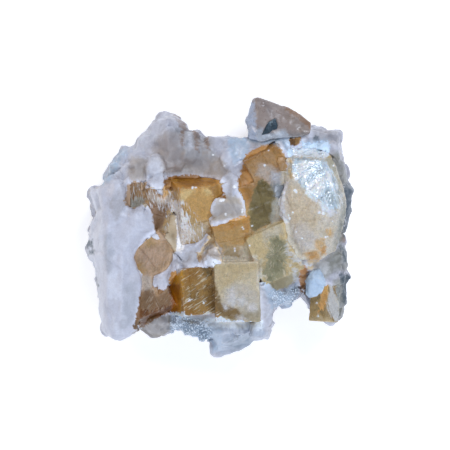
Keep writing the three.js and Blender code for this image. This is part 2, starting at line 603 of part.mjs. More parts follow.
const specimen = new THREE.Group();
specimen.name = 'fluorite_with_calcite';
Object.entries(FINISHES).forEach(([name, material]) => {
  const pieces = solids[name].decompose().sort((a, b) => b.volume() - a.volume());
  const mesh = new THREE.Mesh(geometryFrom(pieces[0]), material);
  mesh.name = name;
  specimen.add(mesh);
});

export default specimen;
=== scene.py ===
import math

import bmesh
import bpy
import numpy as np
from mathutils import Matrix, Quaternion, Vector
from mathutils.bvhtree import BVHTree


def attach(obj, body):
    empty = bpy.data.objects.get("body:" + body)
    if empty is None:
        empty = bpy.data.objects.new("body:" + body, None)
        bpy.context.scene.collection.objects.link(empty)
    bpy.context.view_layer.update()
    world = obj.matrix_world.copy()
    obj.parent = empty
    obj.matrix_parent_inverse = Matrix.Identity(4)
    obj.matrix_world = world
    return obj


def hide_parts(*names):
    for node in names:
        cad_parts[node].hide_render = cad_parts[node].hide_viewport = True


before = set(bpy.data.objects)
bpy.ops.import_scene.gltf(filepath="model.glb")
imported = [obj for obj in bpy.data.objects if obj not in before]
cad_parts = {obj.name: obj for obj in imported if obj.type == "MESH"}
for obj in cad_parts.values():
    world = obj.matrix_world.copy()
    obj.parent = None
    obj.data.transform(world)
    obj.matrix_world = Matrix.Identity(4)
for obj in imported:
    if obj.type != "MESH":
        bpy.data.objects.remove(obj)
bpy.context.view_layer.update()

# --------------------------------------------------------------------
# Calcite matrix. The vein calcite that carries the fluorite: milky, faintly lilac, waxy where it
# cleaved, smoky where it is clear enough to see into. It grew as one mass and was broken from the vein,
# so its top is rounded blades and its flanks are rough steps.
# --------------------------------------------------------------------

# One millimetre in metres. Every other length in this file is in mm, unless it says metres.
MM = 0.001

# The voxels that the matrix is meshed from, and how many triangles are left when it is thinned.
MATRIX_VOXEL = 0.43
MATRIX_TRIANGLES = 194000
# Cleavage of calcite: three directions, none of them square to another.
CLEAVAGE = np.array([(1.0, 0.28, 0.10), (-0.22, 1.0, 0.18), (0.16, -0.12, 1.0)])
# How sharply one tilted flat gives way to the next.
FACET_CRISP = 26.0
# Relief of the broken calcite, each as size and height: tilted flats, cleavage steps and grain.
MATRIX_FACETS = [(8.5, 1.15), (3.6, 0.34)]
MATRIX_STEPS = (2.4, 0.12)
MATRIX_GRAIN = (0.8, 0.03)
# Relief dies out over this height above the ground.
GROUND_FADE = 1.2
# A face is a flank from this upward share of its facing down, and broken from this far below the top.
FLANK_FACING = 0.6
BROKEN_FROM = 3
BROKEN_FADE = 5
STAINED_FROM = 2
# How far flanks swell out, and how much more or less relief broken, crusted and smooth parts have.
FLANK_SWELL = 0.3
FLANK_STIR = 0.4
CRUST_STIR = 0.3
CRUST_GRAIN = 4
SLAB_CALM = 0.5
# Where the broken edge and the tops stand out or back a little: middle, reach and shift, in mm.
EDGE_SHIFTS = [((28.2, -25.4), 3.4, (-0.9, 2.2, 0)), ((36.0, -33.6), 5.5, (0, -0.9, 0)),
               ((-22.9, -36.6), 5.0, (0, -1.0, 0)), ((15.0, -37.5), 4.0, (0.5, -0.5, 0)),
               ((44.0, 8.0), 7.0, (0.6, 0, 0)), ((43.0, -14.0), 8.0, (0.5, 0, 0)),
               ((-44.0, 5.0), 8.0, (1.3, -0.2, 0)), ((-3.0, -40.0), 3.5, (0.7, 0.4, 0)),
               ((-14.6, -10.5), 3.6, (0, 0, 1.3)), ((-15.4, 3.0), 2.6, (0, 0, 0.9)),
               ((13.2, -18.6), 2.6, (0, 0, 1.6))]
# Beside the fluorite, the calcite is brought almost level with it: from how far away, how near it is fully
# so, how fast that comes on, and how far it then stands above the fluorite.
LEVEL_REACH = 4.0
LEVEL_FULL = 0.6
LEVEL_BEND = 1.3
LEVEL_PROUD = 0.12
# What share of the difference is taken off, or filled up. A fill is at most so much, starts at most so far
# below, and is full on faces that look up at least this much.
LEVEL_DOWN = 0.9
LEVEL_UP = 0.8
FILL_MOST = 1.6
FILL_BELOW = 3
FILL_FACING = 0.4
# Calcite laps this far over the solids that it meets, and its relief is calm where it is seated on them.
LAP = 0.55
SEAT_FULL = 0.4
SEAT_FADE = 1.6
SEAT_CALM = 0.9
# A point this near to another solid is pushed over to it, less so over the fade, with a broken edge.
LEAN_FULL = 0.45
LEAN_FADE = 1.1
LAP_BREAK = 0.5
LAP_BREAK_SIZE = 1.1
# A joint between two solids: how near they are there, and over what width it fades.
JOINT_REACH = 1.8
JOINT_FULL = 0.2
JOINT_FADE = 1.4
# A height well above the specimen, from which its top is looked for.
SKY = 60
# Steep faces, by the upward share of their facing, and how far inside them, or inside a neighbouring solid,
# its top is looked for.
STEEP_FACING = 0.45
TOP_INSIDE = 1.2
NEIGHBOUR_IN = 0.7
# How far a patch fades out at the foot and down a steep side, how raggedly, and how deep that counts.
FOOT_FADE = 1.5
DROP_FADE = 1.2
DROP_BREAK = 0.5
DROP_BREAK_SIZE = 3.0
SUNK_MOST = 6
# Depths in a patch or a spot are kept only to this far outside it.
FAR_OUT = 3.0

# Plan areas where the calcite is a crust of small crystals, rougher than the rest, and their edge's width.
CRUST_EDGE = 2.0
CRUST_PATCHES = [
    [(-17, -29.5), (-13, -29.5), (-8.5, -31), (-3, -31), (-3, -39.5), (-10.5, -38.5), (-17, -37)],
    [(16, -21.5), (21, -22), (26, -19.5), (27, -23), (24.5, -27), (19, -27.5), (17, -25)],
]
# The smooth cleaved slab along the left side.
SLAB_EDGE = 3.0
SLAB_PATCH = [(-44, 12), (-34, 16), (-31, 4), (-22, 8), (-17, 2), (-24, -8), (-26, -20), (-27, -36),
              (-35, -40), (-43, -34), (-46, -6)]

# Patches of the matrix that differ from its milky body, in the order they are laid on:
# name, colour, strength, mottling in mm, width of the edge in mm, plan outlines in mm.
# They end at the foot height.
MATRIX_FOOT = 4.0
MATRIX_PATCHES = [
    ("slab", "#cdcfdb", 0.85, 4.0, 2.0, [
        SLAB_PATCH,
    ]),
    ("haze", "#bfc3d0", 0.55, 2.6, 3.0, [
        [(-38, 22), (-30, 30), (-20, 38), (-16, 34), (-24, 26), (-32, 20)],
        [(-3, 32), (9, 31), (9, 24), (4, 18), (0.5, 22.5), (-2, 25)],
    ]),
    ("smoke", "#a69c94", 0.92, 2.4, 2.2, [
        [(-20.5, 26), (-16.5, 28), (-12.5, 26.5), (-8.5, 26), (-7, 20), (-4.8, 16.8), (-10.2, 18),
         (-20, 17.4)],
        [(-8.5, 26), (-3.5, 26), (0.5, 23), (3, 18.5), (0.5, 16.5), (-5, 17), (-8.5, 18.5)],
        [(-30.5, 23.5), (-25, 23.5), (-24.6, 19), (-25.5, 15.5), (-30, 15), (-31.4, 18)],
    ]),
    ("dusk", "#98979b", 0.85, 2.6, 2.6, [
        [(-19.8, 27), (-17.4, 32.4), (-13.8, 34), (-10.4, 32.6), (-8.2, 30), (-5, 30.6), (-2.6, 29.4),
         (-1.6, 24), (-7, 20), (-12, 22), (-18, 22)],
    ]),
    ("dim", "#99979b", 0.9, 2.2, 2.2, [
        [(-14, 33.2), (-10.3, 33.9), (-6.9, 31.2), (-4.2, 28.5), (-6.2, 26.1), (-10.3, 28.2), (-13, 29.5)],
    ]),
    ("smoky", "#9f9592", 0.85, 2.4, 3.2, [
        [(-22.1, 29.5), (-18.4, 32.5), (-14.3, 31.2), (-13.3, 27.2), (-12.3, 22.4), (-15, 19.1),
         (-18.4, 19.1), (-21.1, 22.4), (-23.1, 26.1)],
    ]),
    ("warm", "#b1a698", 0.95, 2.2, 1.6, [
        [(-1.6, 10.6), (1.4, 11), (4.6, 10.4), (7.2, 8.4), (8.6, 3.6), (2, 2.6), (-3, 1.6), (-2.6, 5),
         (-1.4, 8)],
    ]),
    ("under", "#857c70", 0.95, 2.0, 1.2, [
        [(-29.6, -36.4), (-27.8, -34.4), (-24.8, -32.3), (-20.4, -30.4), (-16.6, -29.4), (-16.3, -34.9),
         (-20.4, -38.3), (-23.8, -37.9)],
    ]),
    ("cloudy", "#a6a3a6", 0.75, 2.0, 2.0, [
        [(-2.2, 7), (1.8, 8), (6.6, 7.6), (8, 5.6), (6, 4.2), (0.6, 3.6), (-2.6, 2.8)],
        [(-27, -34), (-23.5, -32), (-18, -29.5), (-17, -35), (-21, -37), (-25.5, -37)],
        [(31, 33.5), (35.5, 33), (40, 32.5), (40, 27), (35.5, 28.5), (31.5, 30)],
        [(-11.6, -8.4), (-8.2, -7.8), (-7.5, -12), (-12.2, -13.4), (-14, -12.6)],
        [(1.5, 19), (3.5, 18), (4.5, 12), (3.5, 9), (1.5, 12)],
        [(-38, 8), (-33, 14), (-31, 9), (-35, 2)],
    ]),
    ("vein", "#a7aab2", 0.6, 1.8, 1.6, [
        [(-39.5, -3), (-37, -2), (-36, -8), (-36.5, -15.5), (-38, -16.5), (-39, -12)],
        [(-32.5, -19.5), (-29, -18.5), (-28, -25), (-29, -31), (-31, -33.5), (-34, -35), (-33, -28)],
    ]),
    ("cool", "#aac0d4", 0.8, 1.8, 2.0, [
        [(-41, 16), (-38, 20.5), (-36.5, 23.5), (-34, 26), (-31, 27), (-34, 22), (-35, 18.5), (-37.5, 15.5),
         (-39.5, 14)],
        [(-17, -29.2), (-13, -29.2), (-8.5, -30.8), (-3, -30.8), (1, -32), (0, -43), (-3, -43), (-3, -39.5),
         (-10.5, -38.5), (-17, -37)],
        [(13, -17.5), (16, -18), (21, -22), (26, -19.5), (27, -23), (24.5, -28), (17.5, -28)],
        [(2.5, 30.5), (8.5, 30.5), (10, 27), (8.5, 23), (4.5, 21), (3, 25)],
        [(21, 29), (29.5, 29), (36, 29.5), (37, 26), (33, 26.5), (27, 25.5), (21.5, 26)],
    ]),
    ("lump", "#b4c0d0", 0.75, 2.6, 2.4, [
        [(1, -32), (14, -33), (16, -37), (12, -40), (6.5, -43), (0, -44.5), (-2, -40)],
    ]),
    ("lump foot", "#8c99a6", 0.6, 2.2, 3.0, [
        [(2, -38), (11, -36.5), (11, -41), (4, -44)],
    ]),
    # Painted shade: near-black down the cleft at the lower right.
    ("cleft", "#3f2c1c", 0.95, 1.2, 0.9, [
        [(26.6, -14.2), (28.6, -13.8), (29.8, -15.5), (29.4, -19), (29.6, -23.5), (27.4, -22.5),
         (27.2, -18.5)],
    ]),
    # Brown along some bevels, grooves and edges.
    ("rust", "#7d5c3c", 0.75, 1.6, 1.2, [
        [(-16.8, 39), (-14.5, 38.4), (-12, 36), (-11, 32.6), (-13, 32.6), (-14.5, 36)],
        [(-13.6, 32.8), (-12.2, 32.8), (-12.6, 27.5), (-13.6, 27.5)],
        [(-9.5, 33), (-7.8, 31.8), (-7, 28.5), (-7.4, 25), (-8.5, 26.5)],
        [(-5.4, 30.5), (-4, 30.5), (-3.6, 26), (-4.5, 25), (-5.2, 28)],
        [(25.5, -13.6), (28.4, -12.6), (29.2, -14.2), (27.4, -15.6)],
        [(41, 0.2), (43, 0.5), (42.5, -6), (40, -5), (39.6, -3)],
    ]),
    ("amber", "#a17a45", 0.97, 1.8, 0.7, [
        [(7.6, 21), (9, 23.2), (11.4, 25.4), (14, 27.2), (17, 28.2), (18.8, 28.2), (19.8, 27.2), (22.6, 22),
         (22.2, 18), (19.5, 17.5), (17, 21), (10.2, 17), (10.6, 11), (9.2, 6), (8, 11.4), (6.6, 13),
         (6, 15.4), (7.2, 16.6), (7, 18.8)],
        [(-20.4, -2.2), (-19, -3.8), (-17, -3.2), (-17.4, -5.6), (-18.8, -7), (-19.8, -5.2)],
        [(-8, -8.8), (-5.6, -8.8), (-5.6, -10.8), (-7, -12), (-8.2, -10.6)],
    ]),
    ("beige", "#b3a387", 0.95, 2.2, 0.8, [
        [(-19.5, 3.2), (-18.4, 5), (-17, 7), (-15.8, 7), (-15.4, -8.6), (-17, -9.2), (-18.6, -7.6),
         (-17.6, -5.6), (-19, -4.8), (-20.4, -2.2), (-19.5, 0.2)],
        [(-26, 9), (-24.2, 11.8), (-23.6, 7.5), (-25.4, 6.8)],
    ]),
    # Painted highlight: pale where the left rim and some small faces catch the light.
    ("bright", "#e6eaf4", 0.5, 1.8, 1.6, [
        [(-44, 11.5), (-41.5, 12.5), (-40.5, 9), (-39.5, -1), (-39.5, -11.5), (-40.5, -21.5), (-39.5, -31),
         (-39.5, -36.5), (-41.5, -35), (-42, -20), (-45, -8), (-44.5, 5.5)],
        [(-38.5, -16.5), (-36, -14.5), (-34, -17.5), (-33.5, -23.5), (-35.5, -25), (-38, -23.5)],
        [(-36.5, -30), (-35, -32), (-34, -35.5), (-35.5, -36), (-37, -34)],
        [(-24, 22.5), (-21, 24), (-19, 20.5), (-18.5, 15.5), (-19, 11.5), (-21, 10), (-23, 12.5),
         (-25, 16.5), (-25, 19.5)],
        [(7.5, 11), (9.6, 9), (9.6, 4), (8, 5)],
        [(-1.5, 9.6), (0.8, 10), (2, 9), (1.5, 8.2), (-1, 8)],
        [(-11.5, 32), (-10, 32), (-9.5, 26.5), (-10.5, 26)],
        [(6, 28), (8, 26.4), (7, 24), (5, 24.6)],
        [(20.4, 12), (21.4, 12), (21, 8), (22, 3), (24, -2), (21.6, -1), (19.6, 4.4), (19.8, 8)],
    ]),
]
# Painted shade, in dark olive and slate: down the right flank, and in a few hollows of the front, the left
# and the top edge. It shows this far down a steep side.
FLANK_DROP = 7.5
FLANK_PATCHES = [
    ("olive", "#85847a", 0.9, 2.2, 2.4, [
        [(37.5, 24.8), (39.5, 25.5), (42, 22), (44, 15), (43, 12), (40.2, 13.4), (39.2, 17.8), (37.6, 21.2)],
        [(33, -13), (36, -10.5), (38.5, -8), (41.5, -6.5), (44, -8), (44, -15), (40, -15), (37, -16.5),
         (34.5, -18.5)],
        [(38.5, -18), (43.5, -17), (43.5, -25), (42, -33), (39.5, -34), (38.2, -26)],
    ]),
    ("slate", "#44545f", 0.92, 1.3, 1.3, [
        [(41.8, 14), (44, 15.5), (47, 12.5), (46, 9), (46, 3), (44, -2.5), (42, -4), (40.4, -1), (41.2, 4.5),
         (42.2, 9)],
        [(40.5, -16), (45, -17), (45, -22.5), (43, -27), (41.5, -25), (41.5, -21)],
        [(40.5, -6), (43.5, -8), (43.5, -12), (42, -12)],
        [(-12, -35), (-10.5, -34.6), (-9.2, -35), (-9.5, -37.5), (-11.5, -38)],
        [(-6.4, -33), (-5, -33.5), (-4.5, -38.5), (-6, -38.5), (-6.8, -35.5)],
        [(23.6, -22), (25.5, -20.3), (27.5, -20.5), (25.5, -23)],
        [(-46, -5), (-43.5, -4.5), (-43.5, -6.5), (-46, -7.5)],
        [(-45, -8.5), (-42.8, -8), (-42.8, -9.5), (-45, -9.5)],
        [(-43, -17.5), (-41.8, -17.5), (-41.2, -20), (-42, -20.5)],
        [(31.5, 30.5), (33, 30.5), (33, 28.9), (31.5, 28.9)],
    ]),
]
# Thin skins over the rest: where the fluorite shows through the calcite beside the cubes, and frosted, smoky
# or slaty places along the seams and at the foot, some of them painted shade or painted light.
# They show this far down a steep side.
SKIN_DROP = 7.0
SKIN_PATCHES = [
    ("skin olive", "#aba082", 1.0, 2.2, 0.6, [
        [(14, -16.7), (15.4, -18), (16, -18), (17.4, -20.7), (20.1, -21.7), (22.4, -20.7), (24.8, -19.1),
         (26.5, -17), (27.8, -14), (26.8, -9.6), (14, -12)],
    ]),
    # Painted reflection: the pearly film carried onto the calcite beside the great crystal.
    ("skin pearl", "#cadef2", 1.0, 2.0, 0.8, [
        [(22.4, 25.8), (24.5, 26.8), (27.5, 27.2), (28.5, 28.2), (32.2, 28.5), (36.3, 28.8), (36.9, 26.8),
         (36.3, 23.8), (23.5, 20.7)],
    ]),
    ("skin rim", "#8d5f24", 1.0, 2.0, 0.5, [
        [(-18.4, 16.7), (-16.3, 17), (-11.6, 17.4), (-6.9, 17), (-5.9, 16.4), (-4.9, 15.7), (-2.5, 15.9),
         (-1.2, 16), (0.2, 13.3), (1.9, 9.3), (-0.8, 9.6), (-6.9, 10.6), (-14.7, 11.3), (-17.7, 9.6),
         (-18.7, 8.6), (-19.2, 11.6), (-19.2, 15)],
    ]),
    ("skin rim pale", "#c19a66", 0.95, 1.2, 1.2, [
        [(-19.4, 13.7), (-17.4, 14), (-15, 13), (-15.7, 11), (-17.7, 9.6), (-19.4, 8.6)],
    ]),
    ("skin amber", "#ab7c42", 1.0, 2.0, 0.5, [
        [(7.9, 22.4), (8.6, 24.1), (10, 25.1), (12, 26.1), (14, 27.2), (16, 27.8), (18.4, 28.2),
         (19.7, 27.5), (18.4, 22.4), (14, 12.3), (10, 3.9), (9.3, 6.6), (8.6, 8.9), (7.6, 11.3), (6.3, 13.3),
         (5.7, 15.3), (6.6, 17), (7.3, 19.1)],
        [(-17, -16), (-16, -15.3), (-13.6, -14.8), (-12.3, -15), (-13.6, -19.7), (-15, -24.8),
         (-16.7, -24.8), (-17.2, -20.7)],
    ]),
    ("skin stripes", "#9f846a", 1.0, 1.6, 0.6, [
        [(-31.5, 14.3), (-29.5, 15), (-26.5, 15.3), (-25.1, 14.7), (-24.8, 12.3), (-22.8, 10.6),
         (-19.7, 9.3), (-17.7, 10), (-15, 11.3), (-16.3, 7.3), (-18.7, 1.5), (-20.4, -1.9), (-22.1, -1.2),
         (-23.1, 4.2), (-24.1, 6.6), (-25.4, 8.6), (-27.1, 7.9), (-28.5, 6.2), (-30.5, 6.2), (-31.5, 7.3),
         (-32.4, 8.9), (-31.9, 10.3)],
    ]),
    ("skin beige", "#ac9b80", 1.0, 1.8, 0.8, [
        [(-17.4, 6.2), (-15, 7.6), (-14.3, 1.5), (-14.5, -4.5), (-15, -8.6), (-17, -9.9), (-18.4, -6.6),
         (-17.7, -0.5)],
    ]),
    ("skin frost", "#eeebea", 1.0, 1.1, 0.8, [
        [(-14.8, 7.3), (-13.3, 6.9), (-12.3, 0.5), (-12.3, -7.2), (-13.3, -8.6), (-14.7, -8.9),
         (-14.5, -1.9), (-15, 2.9)],
    ]),
    ("skin brown", "#84603a", 1.0, 1.8, 0.5, [
        [(-26.8, -21.4), (-27.5, -25.5), (-28.1, -28.8), (-29.2, -34.2), (-27.8, -34.6), (-23.8, -31.9),
         (-20.4, -30.5), (-16.7, -28.8), (-17, -21.4)],
    ]),
    ("skin dark", "#6b431c", 0.95, 1.4, 0.9, [
        [(-17, -24.8), (-16.7, -28.8), (-20.4, -30.5), (-23.8, -31.9), (-26.1, -33.2), (-27.8, -34.6),
         (-29.2, -34.2), (-28.1, -30.9), (-27.1, -28.5), (-23.8, -27.5), (-20.4, -26.8)],
    ]),
    ("skin tan", "#d8c09a", 1.0, 1.8, 0.6, [
        [(-3.9, -0.5), (-2.5, 0.2), (-0.8, -4.5), (0.9, -12), (-2.2, -10.6), (-5.2, -8.6), (-7.9, -10.6),
         (-7.6, -8.9), (-5.9, -7.2), (-4.5, -4.9), (-3.9, -2.9)],
        [(28.5, -12), (30.9, -11), (33.6, -11.3), (32.2, -14.3), (29.5, -14.7)],
    ]),
    ("skin smoke", "#b1a9a5", 0.95, 1.1, 1.4, [
        [(-4.9, -6.6), (-2.9, -5.6), (-1.2, -6.9), (0.2, -10.6), (-1.5, -12), (-4.5, -12), (-6.6, -12.3),
         (-5.9, -9.3)],
    ]),
    ("skin white", "#dfe6f2", 0.95, 1.4, 1.0, [
        [(-5.2, -12), (-3.9, -9.9), (-2.2, -10.6), (0.2, -12), (-1.5, -13.3), (-4.2, -13.7)],
        [(22.4, -12), (24.5, -11), (26.8, -12), (30.2, -12), (31.2, -13.3), (28.5, -14), (26.1, -12.6)],
    ]),
    ("skin gold", "#c1904c", 1.0, 1.6, 0.7, [
        [(1.2, 0.5), (2.9, 1.9), (5.2, 2.7), (6.6, 3.2), (9.3, 3.9), (10.6, 2.9), (9.6, 0.2), (5.9, -0.2),
         (3.2, -1.2)],
    ]),
    # Painted shade at the foot of the clear block.
    ("foot slate", "#8d9ca9", 0.9, 1.1, 1.6, [
        [(8.9, 31.2), (12, 30.5), (16, 29.9), (20.1, 30.2), (23.5, 30.2), (25.5, 28.8), (23.5, 28.2),
         (20.1, 28.5), (16, 27.8), (12.7, 27.8), (9.3, 28.8)],
    ]),
    ("lump top", "#dde4ec", 1.0, 1.4, 1.2, [
        [(0.2, -31.9), (14.3, -31.9), (14.3, -34.9), (10.6, -35.2), (6.6, -34.6), (0.5, -33.9)],
    ]),
    ("skin rust", "#b58455", 1.0, 1.2, 1.0, [
        [(26.5, -13.3), (28.5, -12.6), (29.5, -14.7), (29.2, -18.7), (28.8, -22.8), (27.5, -22.1),
         (26.8, -18)],
    ]),
    # Painted shade on the right flank.
    ("olive slate", "#8d8e86", 0.95, 1.8, 1.6, [
        [(39.3, 6.9), (41.3, 5.6), (42.3, 1.5), (41.7, -3.9), (40.7, -6.6), (39.1, -4.5), (40, 0.2)],
    ]),
    ("skin pale", "#cfcfd0", 0.9, 1.4, 1.8, [
        [(31.5, -12.3), (36.3, -11.6), (37.3, -15.3), (34.2, -17), (31.5, -15)],
    ]),
    ("skin cool", "#8495a8", 0.9, 1.4, 2.4, [
        [(-15.7, -33.2), (-10.9, -32.5), (-6.2, -33.2), (-2.9, -34.6), (-3.5, -38.9), (-8.3, -38.6),
         (-13, -37.6)],
    ]),
    # Grey-blue haze, darkened further as painted shade over a small facet that faces the light.
    ("skin haze", "#73797e", 0.95, 1.4, 0.6, [
        [(16, 15), (22.1, 15), (22.8, 8.6), (17, 8.6)],
    ]),
    ("skin smudge", "#c6c7ca", 0.9, 1.0, 1.0, [
        [(23.8, -13.7), (25.1, -14), (26.1, -17.7), (24.8, -18.4), (24.1, -16)],
    ]),
    ("brown tip", "#6d4f2d", 1.0, 1.0, 0.8, [
        [(-29.5, -34.6), (-28.8, -31.5), (-26.5, -30.2), (-23.1, -28.5), (-22.1, -30.9), (-24.4, -33.2),
         (-26.8, -34.6)],
    ]),
    # Painted light in the recess under the broken front of the middle cubes.
    ("foot light", "#dde9f6", 0.9, 1.4, 1.4, [
        [(-5.9, -30.9), (0.5, -31.2), (1.5, -33.9), (-5.2, -34.2)],
    ]),
]
# Painted highlights on small faces that catch the light: middle and radius.
BRIGHT_SPOTS = [(-2.5, 24.2, 0.35), (1.2, 20.3, 0.5), (4.9, 13.3, 0.7), (-21.7, -3.5, 0.6),
                (0.2, 8.9, 0.7), (1.1, 9.0, 0.5), (7.3, 5.6, 0.5), (7.3, 4.8, 0.4), (1.5, 4.2, 0.5),
                (6.9, 9.9, 0.4), (-27.0, -15.7, 0.45), (-26.0, -16.1, 0.5), (-25.2, -16.0, 0.4)]


def linear(code):
    """An sRGB hex colour as the linear red, green, blue and alpha of a shader socket."""
    parts = [int(code[i:i + 2], 16) / 255 for i in (1, 3, 5)]
    return [p / 12.92 if p <= 0.04045 else ((p + 0.055) / 1.055) ** 2.4 for p in parts] + [1]


def add(tree, kind, settings=None, sockets=None, out=0):
    """Adds one node with its settings and its sockets' values or links, and returns its output."""
    node = tree.nodes.new(kind)
    for name, value in (settings or {}).items():
        setattr(node, name, value)
    for key, value in (sockets or {}).items():
        if isinstance(value, bpy.types.NodeSocket):
            tree.links.new(value, node.inputs[key])
        else:
            node.inputs[key].default_value = value
    return node.outputs[out] if len(node.outputs) else node


def lattice(cell, seed):
    """A fixed random number from 0 to 1 for each whole-number grid point."""
    n = cell[:, 0] * 374761393 + cell[:, 1] * 668265263 + cell[:, 2] * 1440670441 + seed * 982451653
    n = (n ^ (n >> 13)) * 1274126177
    n = n ^ (n >> 16)
    return (n & 65535) / 65535


def swell(points, size, seed):
    """Smooth lumps about `size` mm across, from -1 to 1."""
    place = points / size + 31.7 * seed
    cell = np.floor(place).astype(np.int64)
    t = place - cell
    t = t * t * (3 - 2 * t)
    total = np.zeros(len(points))
    for corner in np.ndindex(2, 2, 2):
        weight = np.prod(np.where(np.array(corner) == 1, t, 1 - t), axis=1)
        total += weight * lattice(cell + np.array(corner), seed)
    return 2 * total - 1


def facets(points, size, seed):
    """Heights of a surface cleaved into tilted flats about `size` mm across, from about -1 to 1."""
    place = points @ CLEAVAGE.T / size
    cell = np.floor(place).astype(np.int64)
    heights = np.zeros(len(points))
    weights = np.zeros(len(points))
    for corner in np.ndindex(3, 3, 3):
        near = cell + np.array(corner) - 1
        site = near + np.stack([lattice(near, seed + k) for k in range(3)], axis=1)
        tilt = np.stack([lattice(near, seed + k) for k in range(3, 6)], axis=1) - 0.5
        away = place - site
        weight = np.exp(-FACET_CRISP * (away ** 2).sum(axis=1)) + 1e-30
        heights += weight * (2.4 * (away * tilt).sum(axis=1) + 0.7 * (lattice(near, seed + 6) - 0.5))
        weights += weight
    return heights / weights


def steps(points, size, seed):
    """Heights of small cleavage steps about `size` mm wide, from -0.5 to 0.5."""
    place = points @ CLEAVAGE.T / size + 0.5 * swell(points, 3 * size, seed)[:, None]
    return lattice(np.floor(place).astype(np.int64), seed) - 0.5


def depth_in(plan, outlines):
    """How far each plan position lies inside the nearest of the outlines, in mm, below zero outside."""
    best = np.full(len(plan), -FAR_OUT)
    for outline in outlines:
        near = np.flatnonzero(((plan > np.min(outline, axis=0) - FAR_OUT)
                               & (plan < np.max(outline, axis=0) + FAR_OUT)).all(axis=1))
        spot = plan[near]
        inside = np.zeros(len(near), bool)
        nearest = np.full(len(near), FAR_OUT)
        for (ax, ay), (bx, by) in zip(outline, outline[1:] + outline[:1]):
            crosses = (ay > spot[:, 1]) != (by > spot[:, 1])
            at = ax + (spot[:, 1] - ay) * (bx - ax) / ((by - ay) if by != ay else 1e-9)
            inside ^= crosses & (spot[:, 0] < at)
            edge = np.array([bx - ax, by - ay])
            past = spot - np.array([ax, ay])
            share = np.clip((past @ edge) / max(edge @ edge, 1e-9), 0, 1)
            nearest = np.minimum(nearest, np.linalg.norm(past - share[:, None] * edge, axis=1))
        best[near] = np.maximum(best[near], np.where(inside, nearest, -nearest))
    return best


def within(plan, outlines, soft):
    """1 inside any of the plan outlines and 0 outside, with an edge `soft` mm wide."""
    t = np.clip(depth_in(plan, outlines) / soft + 0.5, 0, 1)
    return t * t * (3 - 2 * t)


def depth_in_spots(plan, spots):
    """How far each plan position lies inside the nearest of the round spots, in mm."""
    best = np.full(len(plan), -FAR_OUT)
    for x, y, radius in spots:
        best = np.maximum(best, radius - np.linalg.norm(plan - np.array([x, y]), axis=1))
    return best


def placed(name, data):
    """A new object of this mesh, lamp or camera, in the scene."""
    thing = bpy.data.objects.new(name, data)
    bpy.context.scene.collection.objects.link(thing)
    return thing


def even_copy(name, node, voxel, calm):
    """A closed, evenly meshed copy of a CAD node, smoothed `calm` times, to be given its relief."""
    shell = bmesh.new()
    shell.from_mesh(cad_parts[node].data)
    bmesh.ops.remove_doubles(shell, verts=shell.verts, dist=1e-7)
    mesh = bpy.data.meshes.new(name + " rough out")
    shell.to_mesh(mesh)
    shell.free()
    mesh.materials.clear()
    piece = placed(name, mesh)
    remesh = piece.modifiers.new("even faces", "REMESH")
    remesh.mode = "VOXEL"
    remesh.voxel_size = voxel * MM
    smooth = piece.modifiers.new("worn corners", "SMOOTH")
    smooth.factor = 0.5
    smooth.iterations = calm
    return settled(piece)


def settled(piece):
    """The piece with its modifiers turned into plain mesh."""
    view = bpy.context.evaluated_depsgraph_get()
    mesh = bpy.data.meshes.new_from_object(piece.evaluated_get(view))
    piece.modifiers.clear()
    piece.data = mesh
    mesh.name = piece.name
    mesh.polygons.foreach_set("use_smooth", np.ones(len(mesh.polygons), bool))
    return piece


def places(piece):
    """The piece's points in mm, one row each."""
    flat = np.empty(3 * len(piece.data.vertices))
    piece.data.vertices.foreach_get("co", flat)
    return flat.reshape(-1, 3) / MM


def facings(piece):
    """The piece's outward directions, one row for each point."""
    flat = np.empty(3 * len(piece.data.vertices))
    piece.data.vertices.foreach_get("normal", flat)
    return flat.reshape(-1, 3)


def moved(piece, points):
    """Puts the piece's points at new places, in mm, none of them under the ground."""
    standing = np.maximum(points, [-np.inf, -np.inf, 0])
    piece.data.vertices.foreach_set("co", (standing * MM).ravel())
    piece.data.update()


def kept(piece, name, values):
    """Keeps one number for each point of the piece, for its material to read."""
    layer = piece.data.attributes.new(name, "FLOAT", "POINT")
    layer.data.foreach_set("value", values.astype(np.float32))


def solid_tree(nodes):
    """The named solids as one search tree, in mm."""
    corners, faces = [], []
    for node in nodes:
        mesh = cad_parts[node].data
        faces += [[len(corners) + i for i in face.vertices] for face in mesh.polygons]
        corners += [v.co / MM for v in mesh.vertices]
    return BVHTree.FromPolygons(corners, faces)


def buried(piece):
    """How far each point of a steep face lies below the top of the specimen just inside it, in mm."""
    points, facing = places(piece), facings(piece)
    deep = np.zeros(len(points))
    for i in np.flatnonzero(facing[:, 2] < STEEP_FACING):
        x, y = points[i, :2] - TOP_INSIDE * facing[i, :2]
        top = specimen.ray_cast(Vector((x, y, SKY)), Vector((0, 0, -1)))[0]
        if top is not None:
            deep[i] = max(0, top.z - points[i, 2])
    return deep


def toned(piece, patches, foot=9.0, drop=5.0):
    """Keeps how deep in each patch every point lies, and returns the patches that the piece has.
    Patches end at the foot height, and about `drop` mm down a steep face."""
    points = places(piece)
    sunk = np.clip((foot - points[:, 2]) / FOOT_FADE, 0, SUNK_MOST)
    ragged = drop * (1 + DROP_BREAK * swell(points, DROP_BREAK_SIZE, 61))
    sunk += np.clip((buried(piece) - ragged) / DROP_FADE, 0, SUNK_MOST)
    found = []
    for patch in patches:
        depth = depth_in(points[:, :2], patch[5]) - sunk
        if np.count_nonzero(depth > 0) > 3:
            kept(piece, patch[0], depth)
            found.append(patch)
    return found


